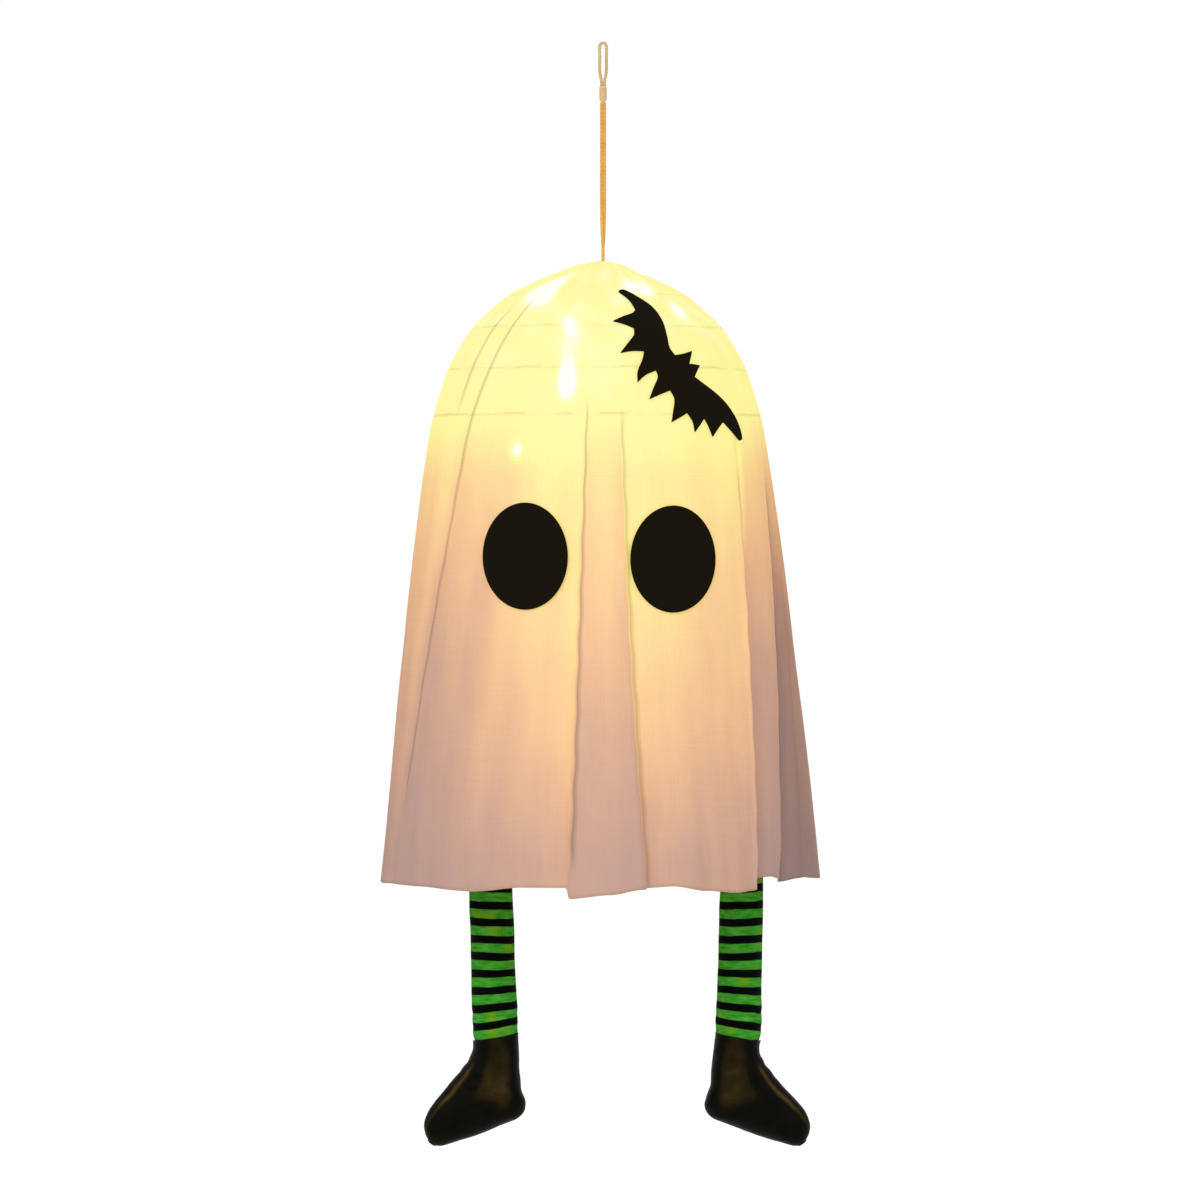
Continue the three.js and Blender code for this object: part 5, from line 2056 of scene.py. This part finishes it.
    def hanger(self, cotton: Material) -> None:
        """The cord loop from the lantern's rib to the tab, and the tab.

        Args:
            cotton: the thread's material.
        """
        hook = np.array(self.hook)
        link = self.along(0) + np.array([0, 0, self.link_drop])
        bottom = link + np.array([0, 0, self.bow])
        points = []
        for centre, eighths in (
            (hook, (4, 6, 8)),
            (bottom, (8, 10, 12, 14, 16)),
            (hook, (0, 2, 3.8)),
        ):
            for k in eighths:
                a = math.pi * k / 8
                points.append(centre + self.bow * np.array([math.cos(a), 0, math.sin(a)]))
        maker = Twine(cotton, self.cord_drawn, self.cord_lay, plies=2)
        cord, path = maker.lay_along(f"{self.name}_cotton_cord", points)
        install(cord, f"{self.name}_hanger", [f"{self.name}_leg_cord"])
        tab = [(link[0], -self.tab_radius, self.top_z + CLEARANCE)]
        for k in range(9):
            a = math.pi - math.pi * k / 8
            tab.append((link[0], self.tab_radius * math.cos(a), link[2] + self.tab_radius * math.sin(a)))
        tab.append((link[0], self.tab_radius, self.top_z + CLEARANCE))
        maker = Twine(cotton, self.tab_drawn, self.cord_lay, plies=2)
        loop, _ = maker.lay_along(f"{self.name}_cotton_tab", tab)
        install(loop, f"{self.name}_leg", [f"{self.name}_leg_tab"])


@dataclass
class BatteryPack:
    """The light string's case under the lantern, dressed on the model's own solids."""

    case_white: str = "#EDEDEA"
    switch_black: str = "#141414"
    tie_ivory: str = "#F2F0E6"
    cell_grey: str = "#C9CBCD"
    contact_gold: str = "#C7A252"

    def build(self) -> None:
        """Give each solid its finish."""
        white = MouldedPlastic("white_abs", self.case_white).build()
        black = MouldedPlastic("black_abs", self.switch_black).build()
        nylon = MouldedPlastic("natural_nylon", self.tie_ivory, 0.35).build()
        nickel = DrawnMetal("nickel_plated_steel", self.cell_grey, 0.25).build()
        brass = DrawnMetal("sprung_brass", self.contact_gold, 0.3).build()
        for node, material in (
            ("battery_case", white),
            ("battery_lid", white),
            ("switch_slider", black),
            ("cable_tie", nylon),
            ("coin_cell_back", nickel),
            ("coin_cell_front", nickel),
            ("contact_back", brass),
            ("contact_side", brass),
        ):
            dress(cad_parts[node], material)
            log.info("%s dressed", node)


@dataclass
class Studio:
    """Floor, lamps, background and the photograph's camera, in metres but for the sensor."""

    sensor: float = 36.0
    distance: float = 5.5
    eye_z: float = -0.400
    aim_x: float = -0.0024
    aim_z: float = -0.4385
    span: float = 0.948
    floor_z: float = -1.35
    floor_size: float = 14.0

    def camera(self) -> None:
        """Place the camera: level, far off, with a long lens."""
        data = bpy.data.cameras.new("camera")
        data.sensor_width = self.sensor
        data.lens = self.sensor * self.distance / self.span
        data.clip_end = 60
        camera = bpy.data.objects.new("camera", data)
        camera.location = (self.aim_x, -self.distance, self.eye_z)
        aim(camera, (self.aim_x, 0, self.aim_z))
        bpy.context.scene.collection.objects.link(camera)
        bpy.context.scene.camera = camera

    def direct_rays(self, tree: NodeTree) -> Node:
        """Whether a ray comes from the camera, a reflection or clear material.

        Args:
            tree: the material's or the world's tree.

        Returns:
            A node whose output is 1 for such a ray and 0 for the light on the object.
        """
        rays = add_node(tree, "ShaderNodeLightPath").outputs
        seen = add_node(
            tree, "ShaderNodeMath", {0: rays["Is Camera Ray"], 1: rays["Is Glossy Ray"]}, operation="MAXIMUM"
        )
        clear = rays["Is Transmission Ray"]
        return add_node(tree, "ShaderNodeMath", {0: seen, 1: clear}, operation="MAXIMUM")

    def floor(self) -> None:
        """A pale floor that meets the background without a line."""
        size = self.floor_size
        verts = np.array([[-size, -size, 0], [size, -size, 0], [size, size, 0], [-size, size, 0]])
        obj = mesh_piece("studio_floor", verts + [0, 0, self.floor_z], [(0, 1, 2, 3)], smooth=False)
        constants = {"Base Color": (0.8, 0.8, 0.8, 1), "Roughness": 1.0}
        material, tree, shader = principled("matt_white_floor", constants)
        glow = add_node(
            tree, "ShaderNodeEmission", {"Color": (0.62, 0.62, 0.62, 1), "Strength": self.direct_rays(tree)}
        )
        both = add_node(tree, "ShaderNodeAddShader", {0: shader, 1: glow})
        # Clear from below, so that the object's underside can be looked at.
        under = add_node(tree, "ShaderNodeNewGeometry").outputs["Backfacing"]
        clear = add_node(tree, "ShaderNodeBsdfTransparent")
        shown = add_node(tree, "ShaderNodeMixShader", {0: under, 1: both, 2: clear})
        output = next(n for n in tree.nodes if n.type == "OUTPUT_MATERIAL")
        tree.links.new(shown.outputs[0], output.inputs["Surface"])
        dress(obj, material)

    def world(self) -> None:
        """Soft even light all round, and white where the camera sees past the object."""
        world = bpy.data.worlds.new("studio")
        world.use_nodes = True
        tree = world.node_tree
        tree.nodes.clear()
        soft = add_node(tree, "ShaderNodeBackground", {"Color": (1, 1, 1, 1), "Strength": 0.5})
        white = add_node(tree, "ShaderNodeBackground", {"Color": (1, 1, 1, 1), "Strength": 1.0})
        mix = add_node(tree, "ShaderNodeMixShader", {0: self.direct_rays(tree), 1: soft, 2: white})
        add_node(tree, "ShaderNodeOutputWorld", {"Surface": mix})
        bpy.context.scene.world = world

    def lamps(self) -> None:
        """Two large soft lamps from the front."""
        for name, place, power, size in (
            ("key", (-1.6, -2.6, 1.0), 34.0, 2.2),
            ("fill", (2.0, -2.4, 0.2), 16.0, 2.4),
        ):
            data = bpy.data.lights.new(name, "AREA")
            data.energy, data.size = power, size
            lamp = bpy.data.objects.new(name, data)
            lamp.location = place
            aim(lamp, (0, 0, -0.45))
            bpy.context.scene.collection.objects.link(lamp)

    def build(self) -> None:
        """Set the whole studio up."""
        bpy.context.scene.view_settings.view_transform = "Standard"
        self.camera()
        self.floor()
        self.world()
        self.lamps()


def main() -> None:
    """Build every piece in order."""
    logging.basicConfig(level=logging.INFO, format="%(name)s: %(message)s")
    Studio().build()
    HangingCord().build()
    steel = DrawnMetal("bare_steel_wire", "#B9BCC0").build()
    lantern = Lantern()
    lantern.skin()
    lantern.hoops(steel)
    dress(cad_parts["expander_wire"], steel)
    form = SheetForm()
    Sheet(form).build()
    felt = WoolFelt().build()
    FeltEye("left_felt_eye", "left_eye", -22.4, -100.0).build(form, felt)
    FeltEye("right_felt_eye", "right_eye", 23.0, -102.2).build(form, felt)
    FeltBat().build(form, felt)
    LightString().build(DrawnMetal("lacquered_copper_wire", "#C98A55", 0.35).build())
    BatteryPack().build()
    cotton = TwistedTwine("spun_cotton_cord", "#F3EBDA", "#B9AB90").build()
    jersey = StripedKnit().build()
    satin = CoatedSatin().build()
    for leg in (
        Leg(Side.LEFT, -84.9, -7.3, (-88.97, 0.0, -393.74)),
        Leg(Side.RIGHT, 106.9, 5.1, (102.23, 0.0, -364.99), heel_shift=-3.0),
    ):
        leg.stocking(jersey)
        leg.boot(satin)
        leg.hanger(cotton)


if __name__ == "__main__":
    main()
